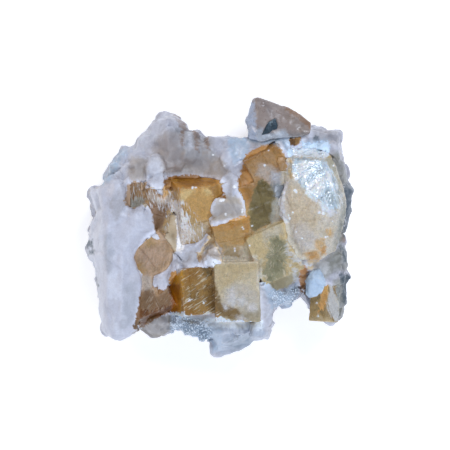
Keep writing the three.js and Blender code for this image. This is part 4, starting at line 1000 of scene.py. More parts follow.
# Patches as on the matrix: name, colour, strength, mottling in mm, edge in mm, plan outlines in mm.
MIDDLE_PATCHES = [
    ("amber upper", "#b18855", 1.0, 3.0, 0.5, [
        [(5, 15.4), (7, 22), (14, 29), (22, 29), (24, 22), (22.2, 12), (20, 4), (17.4, 1.6), (10, -2),
         (9, 6)],
    ]),
    ("amber rim", "#a1712f", 0.9, 2.2, 1.4, [
        [(19, 29), (14, 28), (9, 25), (6.5, 21), (7.6, 19.2), (9, 20), (10.2, 22), (12.4, 23.6),
         (15.4, 25.2), (18, 25.6), (19.2, 24.4), (19.6, 22.4), (18.8, 20), (19.8, 18.4), (23, 19), (23, 22)],
        [(5.5, 17), (5.5, 13), (8, 10.4), (9, 8.6), (10.8, 10.2), (10.2, 13), (8.6, 16)],
    ]),
    ("top frost", "#c2c4ca", 0.9, 1.2, 1.2, [
        [(16.7, 30.2), (21.1, 30.2), (21.4, 26.5), (19.7, 26.5), (17.7, 27.8)],
    ]),
    ("haze", "#c1b4a9", 0.9, 2.4, 2.2, [
        [(13, 21), (16, 21), (18.8, 19.4), (22, 18.4), (22, 12.4), (20.8, 9.6), (19.8, 6.2), (18, 7),
         (17.8, 10.2), (18.8, 12), (16, 14.4), (14, 16.4), (12, 17.4)],
    ]),
    ("haze blue", "#979fa1", 0.85, 1.8, 1.8, [
        [(18, 14.6), (22, 15), (22, 12), (20.4, 8), (18.8, 7), (18, 8), (19, 11), (18.6, 13)],
    ]),
    ("seam lilac", "#c6c6cb", 0.95, 1.6, 1.6, [
        [(17.4, 18.4), (21.1, 18.6), (24, 16.4), (24.4, 12.3), (24.4, 6.9), (22.4, 2.9), (20.4, 3.9),
         (20.9, 8.9), (20.2, 12.3), (18.8, 14.6), (16.7, 16.4)],
    ]),
    ("olive", "#83744a", 1.0, 1.8, 0.8, [
        [(12.3, 14.7), (14, 16.2), (16, 14.7), (18.1, 13), (19.1, 10.3), (18.1, 7.3), (18.7, 4.9),
         (17.7, 1.5), (14, -0.2), (11, -1.9), (9.3, 0.8), (9.1, 4.9), (10.3, 8.6), (11.3, 12.3)],
    ]),
    ("grey olive", "#b7b5a9", 0.9, 1.6, 1.6, [
        [(17.6, 9), (20, 9.6), (21.6, 5.6), (21, 1.4), (17.6, 0.4), (16.4, 2.8), (17.4, 6)],
    ]),
    ("olive deep", "#6c5d33", 0.85, 1.2, 1.2, [
        [(12.3, 14.3), (14, 15.7), (16, 14), (18.1, 12.3), (18.4, 10), (16, 10), (14, 11.3), (12, 11)],
        [(10.6, 7.9), (14, 7.3), (16.7, 7.6), (17.4, 4.2), (14, 2.9), (10.6, 4.2)],
    ]),
    ("gold", "#bf975a", 1.0, 2.6, 0.5, [
        [(-7, 1), (-2.2, 1.6), (2.6, 3), (6.6, 3.6), (9.6, 3.6), (10.2, -0.6), (9.2, -4.6), (7.2, -6.6),
         (7, -12.5), (-9, -12.5), (-9, -6)],
    ]),
    ("gold rim", "#bd8434", 0.8, 2.0, 1.8, [
        [(-3.8, 1), (2.6, 3.4), (7, 3.6), (7.4, 0.6), (5, -0.6), (0, -1.4), (-3.8, -1.4)],
        [(6.6, 3.4), (9.6, 3.4), (10, -1), (8.6, -4.2), (7.6, -1.8)],
    ]),
    ("grey gold", "#a69472", 0.9, 2.0, 2.4, [
        [(1, -6), (5.6, -6.6), (6.6, -8), (6.6, -12), (0.8, -12)],
        [(-5, -2.4), (-3, -1.6), (-2, -4.4), (-4.6, -5.4)],
    ]),
    ("smoky white", "#b9b6b4", 0.9, 1.2, 1.6, [
        [(-6, -5.6), (-1.6, -5.0), (0.6, -7.6), (0.8, -12.2), (-6, -12.2), (-7, -9)],
    ]),
    ("straw", "#cfba8c", 1.0, 3.0, 0.6, [
        [(8.4, -4.6), (11, -2.2), (14, -0.6), (17.8, 0.8), (19.4, 2.2), (21.4, 2), (30, -11), (28.6, -16),
         (24, -23), (12, -22), (13.2, -16.6), (12, -12), (9.4, -10.8), (7.6, -9), (8.2, -6.4)],
    ]),
    ("straw pale", "#cfc7b4", 0.85, 2.2, 2.2, [
        [(14, -1.2), (18, 0.2), (20.6, 0.8), (21.4, -2.6), (18.8, -3.8), (16.4, -5.6), (14.4, -5)],
        [(6.4, -6.4), (9, -6.6), (10.2, -10.6), (9.6, -12.4), (6.4, -12.4)],
    ]),
    ("olive smoke", "#a19c7c", 1.0, 1.3, 1.4, [
        [(16, -4.5), (18.4, -2.9), (20.8, -3.9), (22.8, -4.9), (22.4, -7.2), (22.8, -9.9), (21.8, -12),
         (22.1, -15.3), (20.8, -17.7), (18.4, -18), (18.1, -20.7), (16.4, -19.7), (15.4, -17.7), (13.7, -16),
         (14, -13.3), (15.7, -11.3), (15.4, -8.9), (17, -7.2)],
    ]),
    ("olive core", "#858161", 0.9, 1.1, 1.2, [
        [(17.4, -4.5), (19.1, -3.5), (21.1, -4.9), (22.1, -6.9), (20.4, -8.6), (18.4, -7.6)],
        [(16.4, -10.6), (18.7, -9.3), (21.1, -11), (20.8, -14.7), (18.7, -16), (16.7, -14.7)],
        [(15.7, -17), (17.4, -17.4), (18.4, -19.7), (17, -20.4)],
    ]),
    ("seam beige", "#d9cfbd", 0.9, 1.4, 1.0, [
        [(20.9, 21.4), (23.1, 22.4), (23.1, 13.7), (20.4, 13.3), (20.1, 16.4)],
    ]),
    ("haze deep", "#8b9296", 0.9, 1.5, 1.8, [
        [(17, 14.3), (19.4, 14.7), (21.4, 13.3), (21.4, 10), (19.1, 9.3), (17.7, 11.3)],
    ]),
    # Painted light in the recess between the cubes.
    ("corner light", "#e8dec8", 0.9, 1.4, 1.6, [
        [(7.6, -9.6), (12, -9.6), (13, -12), (8.6, -12.6)],
    ]),
    ("front beige", "#b5a987", 0.95, 1.2, 1.2, [
        [(17, -19.4), (21.1, -17), (25.8, -14.3), (27.2, -17), (24.5, -20.4), (20.1, -22.1), (17.4, -21.4)],
    ]),
    ("seam white", "#d5dae2", 0.85, 1.2, 1.0, [
        [(22, -3.6), (23.6, -8), (26.2, -10), (30, -12), (28.4, -13.6), (24.8, -11.8), (22.2, -9)],
        [(23.8, -13.2), (25.4, -13.6), (27, -17.6), (25.4, -17.2)],
    ]),
    ("cream", "#d5c7a8", 1.0, 3.2, 0.4, [
        [(-2.2, -12.4), (-0.4, -11.8), (3.8, -11.2), (14, -11), (14, -34), (8, -34), (0.2, -33),
         (1.2, -30.4), (-1.4, -23.4), (-2.4, -18)],
    ]),
    # The cubes' pale border, painted lighter still where its first outline lies in the recess between them.
    ("pale border", "#e4dccb", 0.9, 2.0, 1.0, [
        [(-0.4, -9.8), (3.4, -10), (7, -10.4), (12, -9.8), (13, -12.6), (3.8, -12.4), (-0.6, -13)],
        [(12, -14), (14, -14), (14.2, -20), (12.6, -22)],
    ]),
    ("cream gold", "#c6b083", 0.8, 3.0, 2.8, [
        [(-2.2, -12.6), (3.8, -11.8), (13, -11.8), (13, -14.6), (8.6, -16.2), (4.6, -19), (0.6, -21),
         (-1.6, -20.4), (-2.4, -16.6)],
    ]),
    ("cream grey", "#c9c2b6", 0.9, 1.3, 3.0, [
        [(1.9, -20.7), (5.2, -18.7), (9.3, -19.4), (12.7, -22.1), (13.3, -27.5), (12.7, -30.9), (6.6, -32.2),
         (1.9, -30.2), (0.2, -26.1)],
    ]),
    ("cream olive", "#a3977a", 0.85, 1.4, 3.2, [
        [(-2.5, -24.8), (0.5, -25.8), (4.6, -27.8), (8.6, -28.8), (13.3, -27.5), (14, -32.9), (6.6, -32.9),
         (-0.8, -30.9), (-2.5, -28.8)],
    ]),
    ("cream brown", "#856a3c", 0.95, 1.0, 1.2, [
        [(-2.5, -17.7), (-1.5, -19.4), (-0.5, -23.4), (0.5, -25.5), (2.9, -26.8), (5.9, -27.5), (6.9, -29.5),
         (6.6, -31.2), (3.9, -31.2), (0.5, -30.2), (-2.5, -28.8)],
    ]),
    ("scuff", "#d8d6d6", 0.9, 0.8, 1.8, [
        [(2.9, -21.4), (4.2, -20.4), (5.2, -22.8), (5.6, -25.8), (4.2, -27.5), (2.5, -25.8)],
        [(5.9, -24.4), (7.9, -23.4), (8.9, -25.8), (7.6, -27.1), (5.9, -26.5)],
        [(8.9, -26.8), (11.3, -25.8), (12.7, -27.5), (11.3, -28.8), (9.3, -28.5)],
        [(0.5, -25.8), (2.2, -26.1), (2.9, -27.8), (1.2, -28.2)],
        [(4.9, -30.2), (7.3, -29.8), (8.6, -31.2), (6.3, -31.9)],
    ]),
    ("brown", "#a88249", 1.0, 2.4, 0.5, [
        [(-19, -12), (-2.8, -12), (-3, -17.4), (-2, -23.4), (0.6, -31.6), (-13.5, -31), (-19, -31)],
    ]),
    ("brown amber", "#a27334", 0.8, 1.8, 1.6, [
        [(-12.4, -13.6), (-7, -13), (-6.8, -16.4), (-10.2, -19.4), (-12.4, -21)],
        [(-17.4, -14.4), (-12.4, -14), (-12.6, -19), (-15, -20), (-17.4, -18.4)],
        [(-13, -24), (-9.6, -26), (-7, -30), (-13, -30)],
    ]),
    ("brown deep", "#775a30", 0.8, 1.5, 1.6, [
        [(-5.2, -19.8), (-2.8, -18), (-1.8, -22), (0, -26.8), (0.6, -30), (-3.6, -29), (-5.8, -24.8)],
        [(-9, -20), (-7, -22), (-8, -26), (-10.4, -24)],
        [(-6.8, -13.2), (-3.2, -12.6), (-2.4, -14), (-3.4, -17), (-6, -16.8)],
    ]),
    ("amber side", "#c28c28", 1.0, 1.8, 0.7, [
        [(-17.7, -14), (-12.3, -14.3), (-12.5, -18), (-12.6, -21.4), (-13, -24.8), (-13.3, -26.8),
         (-14, -29.8), (-17.7, -29.8)],
    ]),
    ("amber side deep", "#985c02", 1.0, 1.6, 1.6, [
        [(-17.7, -19.4), (-13.6, -19.4), (-13.3, -23.4), (-14, -28.2), (-15, -30.2), (-17.7, -30.2)],
    ]),
    ("smoke top", "#6d6040", 0.85, 1.2, 1.4, [
        [(-6.2, -12.6), (-4.5, -13.3), (-2.9, -15), (-2.2, -17.7), (-4.2, -16.7), (-5.9, -14.7)],
    ]),
    ("calcite lap", "#c9c6ca", 1.0, 1.2, 0.6, [
        [(-17.7, -11.3), (-11.3, -11.3), (-11.3, -13.3), (-13, -14.7), (-14.7, -16.4), (-16.7, -17),
         (-17.7, -17)],
    ]),
]
# Calcite climbs their broken front by a few millimetres, from this height, and shows this far down.
MIDDLE_FOOT_HEIGHT = 9.0
MIDDLE_FOOT_DROP = 2.4
MIDDLE_FOOT = [
    ("broken foot", "#e2ecf6", 1.0, 1.0, 0.4, [
        [(-18.4, -29.2), (-16.7, -28.8), (-15.3, -29.2), (-14, -28.8), (-12.3, -28.7), (-10.9, -30.2),
         (-9.6, -29.8), (-8.3, -30.3), (-6.6, -30.2), (-5.6, -29.2), (-4.2, -29.2), (-2.9, -30.2),
         (-1.2, -30.5), (0.2, -30.2), (1.5, -30.9), (2.9, -31.5), (5.2, -31.9), (6.9, -31.5), (8.6, -32.5),
         (10.3, -32.2), (12, -32.9), (14, -32.2), (14.7, -35.6), (-18.4, -35.6)],
    ]),
]
# Where growth lines or streaks of etching show: the middle they spread from, if any, their heading,
# length and width in mm, how strongly they show, and plan outline in mm.
MIDDLE_STREAKS = [
    (None, 33, 4.4, 0.62, 1, [
        (-13.2, -13), (-7, -12.6), (-2.6, -13), (-2.4, -18), (-1.4, -23.4), (1.4, -29.6), (-4, -30),
        (-13, -28)]),
    ((18.6, -9.4), 0, 2.4, 1.3, 0.8, [
        (14, -1), (22, 1), (22, -6), (28, -13), (24, -20), (14, -20), (13, -13), (15, -8)]),
]
# Streaks fade in over this width, and change over this much of height. Round a middle, this many
# millimetres of width go to a radian.
STREAK_EDGE = 1.6
STREAK_RISE = 3
STREAK_SPREAD = 8
MIDDLE_GLINTS = [(-5.5, -25.9, 0.55), (-4.9, -25.5, 0.4), (-10.3, -24.8, 0.4), (-9.8, -24.4, 0.35),
                 (4.8, -7.4, 0.35), (4.9, -8.2, 0.35), (10.6, 0.2, 0.4), (7.4, -0.2, 0.3), (7.8, -0.9, 0.3),
                 (16.2, 25.6, 0.4), (14.9, 20.6, 0.4), (9.9, -6.4, 0.4)]


def cube_lay(points, cubes):
    """Each point in the frame of the cube that it lies on, in mm, and its distance from that cube's edge."""
    lay = np.zeros((len(points), 3))
    edge = np.zeros(len(points))
    best = np.full(len(points), 1e9)
    for at, size, turn, (towards, by) in cubes:
        heading = math.radians(towards)
        lean = Quaternion((math.sin(heading), -math.cos(heading), 0), math.radians(by))
        pose = (lean @ Quaternion((0, 0, 1), math.radians(turn))).to_matrix()
        inner = (points - np.array(at)) @ np.array(pose)
        half = np.array(size) / 2
        beyond = np.abs(inner + np.array([0, 0, half[2]])) - half
        outside = np.abs(beyond.max(axis=1))
        closer = outside < best
        best[closer] = outside[closer]
        lay[closer] = inner[closer]
        edge[closer] = -np.sort(beyond, axis=1)[:, 1][closer]
    return lay, edge


def streaked(piece, streaks, glints):
    """Keeps where the piece is streaked, each point's place along and across its streaks, and its painted
    highlights.
    """
    points = places(piece)
    share = np.zeros(len(points))
    run = np.zeros((len(points), 3))
    for centre, heading, length, width, amount, outline in streaks:
        turn = math.radians(heading)
        way = np.array([math.cos(turn), math.sin(turn)])
        along, across = points[:, :2] @ way, points[:, :2] @ np.array([-way[1], way[0]])
        if centre:
            spoke = points[:, :2] - np.array(centre)
            along = np.linalg.norm(spoke, axis=1)
            across = STREAK_SPREAD * (np.arctan2(spoke[:, 1], spoke[:, 0]) - turn)
            across %= 2 * STREAK_SPREAD * math.pi
        here = amount * within(points[:, :2], [outline], STREAK_EDGE)
        more = here > share
        run[more] = np.stack([along / length, across / width, points[:, 2] / STREAK_RISE], axis=1)[more]
        share = np.maximum(share, here)
    keep_place(piece, "run", run)
    kept(piece, "streaks", share)
    kept(piece, "glint", depth_in_spots(points[:, :2], glints))


def keep_place(piece, name, rows):
    """Keeps one place for each point of the piece, for its material to read."""
    layer = piece.data.attributes.new(name, "FLOAT_VECTOR", "POINT")
    layer.data.foreach_set("vector", rows.ravel().astype(np.float32))


def crystal_piece(name, node, cubes, voxel, seed):
    """A fluorite group with its growth terraces and its worn and chipped edges."""
    piece = even_copy(name, node, voxel, 1)
    gaps, _, ways = neighbours(piece, [other for other in fluorite_nodes if other != node], CUBE_REACH)
    points = leaned(places(piece), gaps, ways, CUBE_LAP, seed)
    lay, edge = cube_lay(points, cubes)
    wander = np.stack([swell(points, TERRACE_WANDER_SIZE, seed + k) for k in range(3)], axis=1)
    astray = lay + TERRACE_WANDER * wander
    tile = np.floor(astray / np.array(TERRACES)).astype(np.int64)
    small = np.floor(astray / np.array(SMALL_TERRACES)).astype(np.int64)
    height = TERRACE_RISE * (lattice(tile, seed) - 0.5)
    height += SMALL_TERRACE_RISE * (lattice(small, seed + 1) - 0.5)
    height += sum(rise * swell(points, size, seed + 2 + k) for k, (size, rise) in enumerate(FACE_SWELLS))
    worn = np.clip(1 - edge / CHIP_REACH, 0, 1)
    height -= CHIP_DEPTH * worn * np.clip(swell(points, CHIP_LENGTH, seed + 4) + 0.1, 0, 1)
    height *= np.clip(points[:, 2] / CUBE_GROUND_FADE, 0, 1)
    height[gaps < CUBE_CLEAR] = 0
    moved(piece, points + height[:, None] * facings(piece))
    keep_place(piece, "lay", lay)
    kept(piece, "edge", np.clip(1 - edge / BRUISE_REACH, 0, 1))
    jointed(piece, node)
    return piece


# Bruised edges, and painted highlights on small faces that catch the light.
BRUISE = "#ddd2bd"
FLUORITE_GLINT = "#f8fbff"


def fluorite(name, body, deep, patches, light_streak, dark_streak, clear, tint, pearl=0.0):
    """A fluorite finish: body colour with zoning, patches, streaks, internal veils and etched grain.
    A streak is given as its colour, the level of its pattern where it begins, and its strength."""
    material = bpy.data.materials.new(name)
    material.use_nodes = True
    tree = material.node_tree
    tree.nodes.clear()
    place = add(tree, "ShaderNodeTexCoord", {}, {}, "Object")
    mm = add(tree, "ShaderNodeVectorMath", {"operation": "SCALE"}, {0: place, "Scale": 1000})
    lay = add(tree, "ShaderNodeAttribute", {"attribute_name": "lay"}, {}, "Vector")
    # Colour zones 4 mm across that follow the cube's own faces.
    zone = add(tree, "ShaderNodeTexNoise", {}, {
        "Vector": lay, "Scale": 1 / 4, "Detail": 4, "Roughness": 0.62, "Distortion": 0.8})
    zone = add(tree, "ShaderNodeMapRange", {"interpolation_type": "SMOOTHSTEP"},
               {"Value": zone, "From Min": 0.36, "From Max": 0.66})
    colour = add(tree, "ShaderNodeMix", {"data_type": "RGBA"}, {0: zone, 6: linear(body), 7: linear(deep)}, 2)
    run = add(tree, "ShaderNodeAttribute", {"attribute_name": "run"}, {}, "Vector")
    streaks = add(tree, "ShaderNodeAttribute", {"attribute_name": "streaks"}, {}, "Fac")
    lines = add(tree, "ShaderNodeTexNoise", {}, {
        "Vector": run, "Scale": 1, "Detail": 2.5, "Roughness": 0.55, "Distortion": 0.5})
    # Patch edges wander by half a millimetre, and run out along the streaks where there are any.
    feather = add(tree, "ShaderNodeMapRange", {}, {
        "Value": lines, "From Min": 0.3, "From Max": 0.7, "To Min": -1.3, "To Max": 1.3})
    feather = add(tree, "ShaderNodeMath", {"operation": "MULTIPLY"}, {0: feather, 1: streaks})
    stray = add(tree, "ShaderNodeTexNoise", {}, {
        "Vector": mm, "Scale": 1 / 1.2, "Detail": 4, "Roughness": 0.65})
    stray = add(tree, "ShaderNodeMapRange", {}, {
        "Value": stray, "From Min": 0.3, "From Max": 0.7, "To Min": -0.55, "To Max": 0.55})
    stray = add(tree, "ShaderNodeMath", {"operation": "ADD"}, {0: stray, 1: feather})
    colour = painted(tree, colour, patches, mm, stray)
    # Veils inside the crystal, 2 mm across, and speckle of 0.5 mm.
    veil = add(tree, "ShaderNodeTexNoise", {}, {
        "Vector": mm, "Scale": 1 / 2.0, "Detail": 5, "Roughness": 0.65, "Distortion": 1.2})
    veil = add(tree, "ShaderNodeMapRange", {}, {
        "Value": veil, "From Min": 0.3, "From Max": 0.7, "To Min": 0.84, "To Max": 1.16})
    speckle = add(tree, "ShaderNodeTexNoise", {}, {
        "Vector": mm, "Scale": 1 / 0.5, "Detail": 2, "Roughness": 0.6})
    speckle = add(tree, "ShaderNodeMapRange", {}, {
        "Value": speckle, "From Min": 0.3, "From Max": 0.7, "To Min": 0.84, "To Max": 1.14})
    veil = add(tree, "ShaderNodeMath", {"operation": "MULTIPLY"}, {0: veil, 1: speckle})
    # Painted light: joints between solids are painted lighter, as in the calcite.
    joint = add(tree, "ShaderNodeAttribute", {"attribute_name": "joint"}, {}, "Fac")
    veil = add(tree, "ShaderNodeMath", {"operation": "MULTIPLY_ADD"}, {0: joint, 1: JOINT_LIGHT, 2: veil})
    colour = add(tree, "ShaderNodeMix", {"data_type": "RGBA", "blend_type": "MULTIPLY"},
                 {0: 1.0, 6: colour, 7: veil}, 2)
    # Streaks: pale ones and darker ones between them, along each face's own run.
    pale = add(tree, "ShaderNodeMapRange", {}, {"Value": lines, "From Min": light_streak[1],
                                                "From Max": light_streak[1] + 0.09,
                                                "To Max": light_streak[2]})
    pale = add(tree, "ShaderNodeMath", {"operation": "MULTIPLY"}, {0: pale, 1: streaks})
    dark = add(tree, "ShaderNodeMapRange", {}, {"Value": lines, "From Min": dark_streak[1],
                                                "From Max": dark_streak[1] - 0.1, "To Max": dark_streak[2]})
    dark = add(tree, "ShaderNodeMath", {"operation": "MULTIPLY"}, {0: dark, 1: streaks})
    colour = add(tree, "ShaderNodeMix", {"data_type": "RGBA"},
                 {0: dark, 6: colour, 7: linear(dark_streak[0])}, 2)
    colour = add(tree, "ShaderNodeMix", {"data_type": "RGBA"},
                 {0: pale, 6: colour, 7: linear(light_streak[0])}, 2)
    # Worn edges are bruised pale, in bits of half a millimetre, and a few faces get painted highlights.
    bruise = add(tree, "ShaderNodeTexNoise", {}, {"Vector": mm, "Scale": 1 / 0.8, "Detail": 4})
    bruise = add(tree, "ShaderNodeMapRange", {}, {
        "Value": bruise, "From Min": 0.54, "From Max": 0.68, "To Max": 0.4})
    rim = add(tree, "ShaderNodeAttribute", {"attribute_name": "edge"}, {}, "Fac")
    bruise = add(tree, "ShaderNodeMath", {"operation": "MULTIPLY"}, {0: bruise, 1: rim})
    colour = add(tree, "ShaderNodeMix", {"data_type": "RGBA"}, {0: bruise, 6: colour, 7: linear(BRUISE)}, 2)
    glint = add(tree, "ShaderNodeAttribute", {"attribute_name": "glint"}, {}, "Fac")
    glint = add(tree, "ShaderNodeMath", {"operation": "MULTIPLY_ADD"}, {0: stray, 1: 0.4, 2: glint})
    glint = add(tree, "ShaderNodeMapRange", {}, {"Value": glint, "From Min": -0.1, "From Max": 0.2})
    colour = add(tree, "ShaderNodeMix", {"data_type": "RGBA"},
                 {0: glint, 6: colour, 7: linear(FLUORITE_GLINT)}, 2)
    # Square etch steps 1.4 mm apart and grain of 0.3 mm.
    ledge = add(tree, "ShaderNodeTexVoronoi", {"distance": "CHEBYCHEV"},
                {"Vector": lay, "Scale": 1 / 1.4, "Randomness": 0.8}, "Distance")
    grit = add(tree, "ShaderNodeTexNoise", {}, {"Vector": mm, "Scale": 1 / 0.3, "Detail": 3})
    bump = add(tree, "ShaderNodeBump", {}, {"Strength": 0.25, "Distance": 0.00015, "Height": ledge})
    bump = add(tree, "ShaderNodeBump", {}, {
        "Strength": 0.6, "Distance": 0.00025, "Height": pale, "Normal": bump})
    bump = add(tree, "ShaderNodeBump", {}, {
        "Strength": 0.35, "Distance": 0.00008, "Height": grit, "Normal": bump})
    gloss = add(tree, "ShaderNodeTexNoise", {}, {"Vector": mm, "Scale": 1 / 1.8, "Detail": 4})
    gloss = add(tree, "ShaderNodeMapRange", {}, {
        "Value": gloss, "From Min": 0.3, "From Max": 0.7, "To Min": 0.25, "To Max": 0.5})
    lustre = add(tree, "ShaderNodeMath", {"operation": "MULTIPLY"}, {0: streaks, 1: pearl})
    shader = add(tree, "ShaderNodeBsdfPrincipled", {}, {
        "Base Color": colour, "Roughness": gloss, "Normal": bump, "IOR": 1.434,
        "Coat Weight": lustre, "Coat Roughness": 0.22, "Coat IOR": 2.1,
        "Transmission Weight": clear, "Subsurface Weight": 0.3,
        "Subsurface Radius": (1.0, 0.75, 0.5), "Subsurface Scale": 0.0015})
    depth = add(tree, "ShaderNodeVolumeAbsorption", {}, {"Color": linear(tint), "Density": 60.0})
    add(tree, "ShaderNodeOutputMaterial", {}, {"Surface": shader, "Volume": depth})
    return material


middle = crystal_piece("fluorite_middle", "fluorite_cubes_middle", MIDDLE_CUBES, CUBE_VOXEL, 71)
middle_patches = toned(middle, MIDDLE_PATCHES)
middle_patches += toned(middle, MIDDLE_FOOT, MIDDLE_FOOT_HEIGHT, MIDDLE_FOOT_DROP)
streaked(middle, MIDDLE_STREAKS, MIDDLE_GLINTS)
# Honey fluorite, as grown and lightly etched: amber where thick, straw where thin, olive over dark
# ground, and see-through for a few millimetres.
honey_fluorite = fluorite("honey fluorite, etched", "#c6a470", "#b08d54", middle_patches,
                          ("#e4d6b8", 0.55, 0.8), ("#7a6240", 0.42, 0.3), 0.2, "#e9b866")
middle.data.materials.append(honey_fluorite)
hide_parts("fluorite_cubes_middle")
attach(middle, "root")

# --------------------------------------------------------------------
# Fluorite cubes of the upper middle: one large cube that stands up out of the calcite, its upper rim deep
# amber and its left side frosted, with a smaller brown one tucked against it.
# --------------------------------------------------------------------

UPPER_CUBES = [
    ((-5.6, 3.8, 32.8), (16.5, 21, 17), 5, (135, 28)),
    ((-20.8, 5.4, 31.2), (9.6, 15, 12), -12, (95, 10)),
]
UPPER_PATCHES = [
    ("brown", "#93745a", 1.0, 2.2, 0.8, [
        [(-26.1, 13), (-15, 12.3), (-15.3, 9.3), (-16.3, 6.9), (-17.7, 4.6), (-18.7, 1.9), (-20.1, -1.5),
         (-21.1, -3.2), (-23.8, -1.9), (-25.1, 7.3)],
    ]),
    ("beige", "#a89274", 0.95, 2.4, 0.9, [
        [(-17.7, 4.9), (-15.7, 6.9), (-15.3, -7.9), (-16.3, -9.9), (-17.7, -8.6), (-19, -5.6), (-20.4, -3.2),
         (-20.4, -1.5), (-19.4, 0.2), (-18.4, 2.5)],
    ]),
    ("beige foot", "#9c7a48", 0.9, 1.6, 1.2, [
        [(-20.4, -1.9), (-19, -1.5), (-17.7, -4.5), (-18, -7.2), (-19.4, -6.2), (-20.7, -3.9)],
    ]),
    ("gold", "#cfa360", 0.95, 3.0, 1.0, [
        [(-15, 11.6), (-11.6, 13), (-1.5, 14.3), (0.5, 9.6), (-2.2, 8.3), (-3.5, 4.2), (-4.9, 1.5),
         (-7.9, 0.8), (-10.3, 3.9), (-12.3, 6.9), (-14.3, 8.9)],
    ]),
    ("gold pale", "#cbb183", 0.9, 2.4, 2.0, [
        [(-10.3, 3.9), (-7.9, 1.5), (-4.5, 1.9), (-3.5, -1.9), (-5.2, -4.5), (-7.6, -6.2), (-12.3, -7.6),
         (-13.3, -7.9), (-10.9, -3.2)],
    ]),
    ("gold light", "#e4c88e", 0.85, 1.6, 1.6, [
        [(-14.7, 10.3), (-12, 12.3), (-8.3, 13), (-9.6, 11), (-11.6, 9.3), (-13.3, 7.9)],
        [(-5.9, 12.3), (-3.5, 13), (-2.2, 11.3), (-4.5, 10.3)],
    ]),
    ("gold brown", "#ab8048", 0.9, 1.6, 1.2, [
        [(-2.5, 9.6), (-1.2, 9.6), (-2.5, 6.9), (-2.2, 4.6), (-3.9, 1.5), (-4.2, 4.2), (-3.2, 7.3)],
        [(-11.3, -3.9), (-7.9, -3.2), (-5.9, -3.9), (-7.9, -5.9), (-11.6, -6.9)],
    ]),
    ("amber tip", "#a87a3a", 0.95, 1.4, 0.9, [
        [(-2.5, 14.7), (-0.5, 14.7), (0.5, 12.3), (1.9, 9.3), (0.2, 9.6), (-1.5, 9.3), (-2.5, 7.6),
         (-2.5, 11), (-3.9, 13)],
    ]),
    ("amber rim", "#c28a36", 1.0, 2.0, 0.6, [
        [(-19.4, 17.4), (-6.9, 18), (-0.5, 16.7), (-0.2, 14.3), (-2.2, 13.8), (-3.9, 13.7), (-5.6, 13.3),
         (-6.9, 12.8), (-8.3, 13.2), (-9.9, 12.5), (-11.6, 12.7), (-12.6, 13.2), (-13.6, 12.3),
         (-14.7, 11.6), (-16.3, 11.3), (-17.7, 10.3), (-19.4, 8.6)],
    ]),
    ("amber rim deep", "#a06a1c", 0.95, 1.6, 1.4, [
        [(-15, 17.7), (-6.2, 17.7), (-5.6, 14.7), (-7.2, 13.3), (-10.3, 13.3), (-12.6, 13.7), (-14.3, 14.7)],
        [(-4.9, 15), (-2.9, 15.7), (-1.5, 14.7), (-3.5, 14.3)],
    ]),
    ("rim pale", "#c8a06a", 0.95, 1.2, 1.2, [
        [(-19.4, 14.3), (-17, 14.3), (-14.7, 12.7), (-15.7, 10.6), (-17.7, 9.6), (-19.4, 8.6)],
    ]),
    ("gold low", "#cdb99a", 0.85, 1.4, 1.6, [
        [(-8.3, 0.8), (-4.2, 1.5), (-3.9, -1.9), (-5.2, -4.5), (-8.3, -5.6), (-10.3, -4.5), (-9.9, -1.5)],
    ]),
    ("gold foot", "#a5834f", 0.9, 1.3, 1.2, [
        [(-13, -7.2), (-12.3, -4.9), (-10.3, -4.2), (-7.6, -4.9), (-6.9, -6.9), (-10.3, -8.3)],
    ]),
    ("frost", "#fcfafa", 0.9, 0.9, 1.6, [
        [(-16.7, 9.6), (-14.7, 8.6), (-12.6, 5.6), (-10.9, 2.5), (-10.6, -0.2), (-12.3, -1.5), (-14.3, 0.8),
         (-16.3, 4.2)],
    ]),
    ("frost low", "#efebe9", 0.78, 0.8, 1.8, [
        [(-16.3, 4.9), (-14.3, 2.2), (-11.3, 1.5), (-9.3, -0.8), (-8.9, -3.2), (-10.9, -5.6), (-13, -9.3),
         (-15.3, -8.6), (-16.7, -3.9)],
    ]),
    ("frost top", "#cabcad", 0.85, 1.0, 1.0, [
        [(-25.1, 11), (-23.8, 12.7), (-21.7, 10.6), (-19.4, 10), (-17, 11.6), (-14.7, 11.6), (-16, 7.9),
         (-17.7, 6.6), (-20.4, 7.3), (-23.1, 8.3), (-24.8, 8.9)],
    ]),
    ("dark", "#7a5a38", 0.9, 1.6, 1.2, [
        [(-20.4, 6.9), (-17.7, 7.6), (-18.4, 4.2), (-19.7, 0.2), (-21.1, -1.9), (-22.1, -0.5), (-21.7, 3.9)],
    ]),
]
UPPER_STREAKS = [
    (None, 103, 2.4, 0.5, 1, [
        (-18.6, 11), (-12.6, 9), (-7.4, 3), (-4.8, -1), (-6, -7), (-15.4, -9), (-19, -3)]),
    (None, 100, 2.2, 0.45, 1, [
        (-26.4, 12), (-18.4, 13), (-14.2, 12.6), (-14.6, 8), (-17, 4), (-20, 5.6), (-26, 7)]),
]
UPPER_GLINTS = [(-17.2, -6.2, 0.4), (-9.4, 13.0, 0.5), (-8.2, 13.1, 0.4), (-19.4, -2.9, 0.35)]

upper = crystal_piece("fluorite_upper", "fluorite_cubes_upper", UPPER_CUBES, CUBE_VOXEL, 81)
upper_patches = toned(upper, UPPER_PATCHES)
streaked(upper, UPPER_STREAKS, UPPER_GLINTS)
# Golden fluorite, as grown: clear gold in front, frosted by etching down its side.
golden_fluorite = fluorite("golden fluorite, part frosted", "#c3a06a", "#b08a54", upper_patches,
                           ("#ecebee", 0.53, 0.8), ("#8a6c48", 0.42, 0.5), 0.15, "#f0c27a")
upper.data.materials.append(golden_fluorite)
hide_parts("fluorite_cubes_upper")
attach(upper, "root")

# --------------------------------------------------------------------
# Fluorite cubes of the left: two brown ones below, half covered by the calcite slab, and one corner of a
# third above. Their colour is dull, because the calcite lies close under them.
# --------------------------------------------------------------------

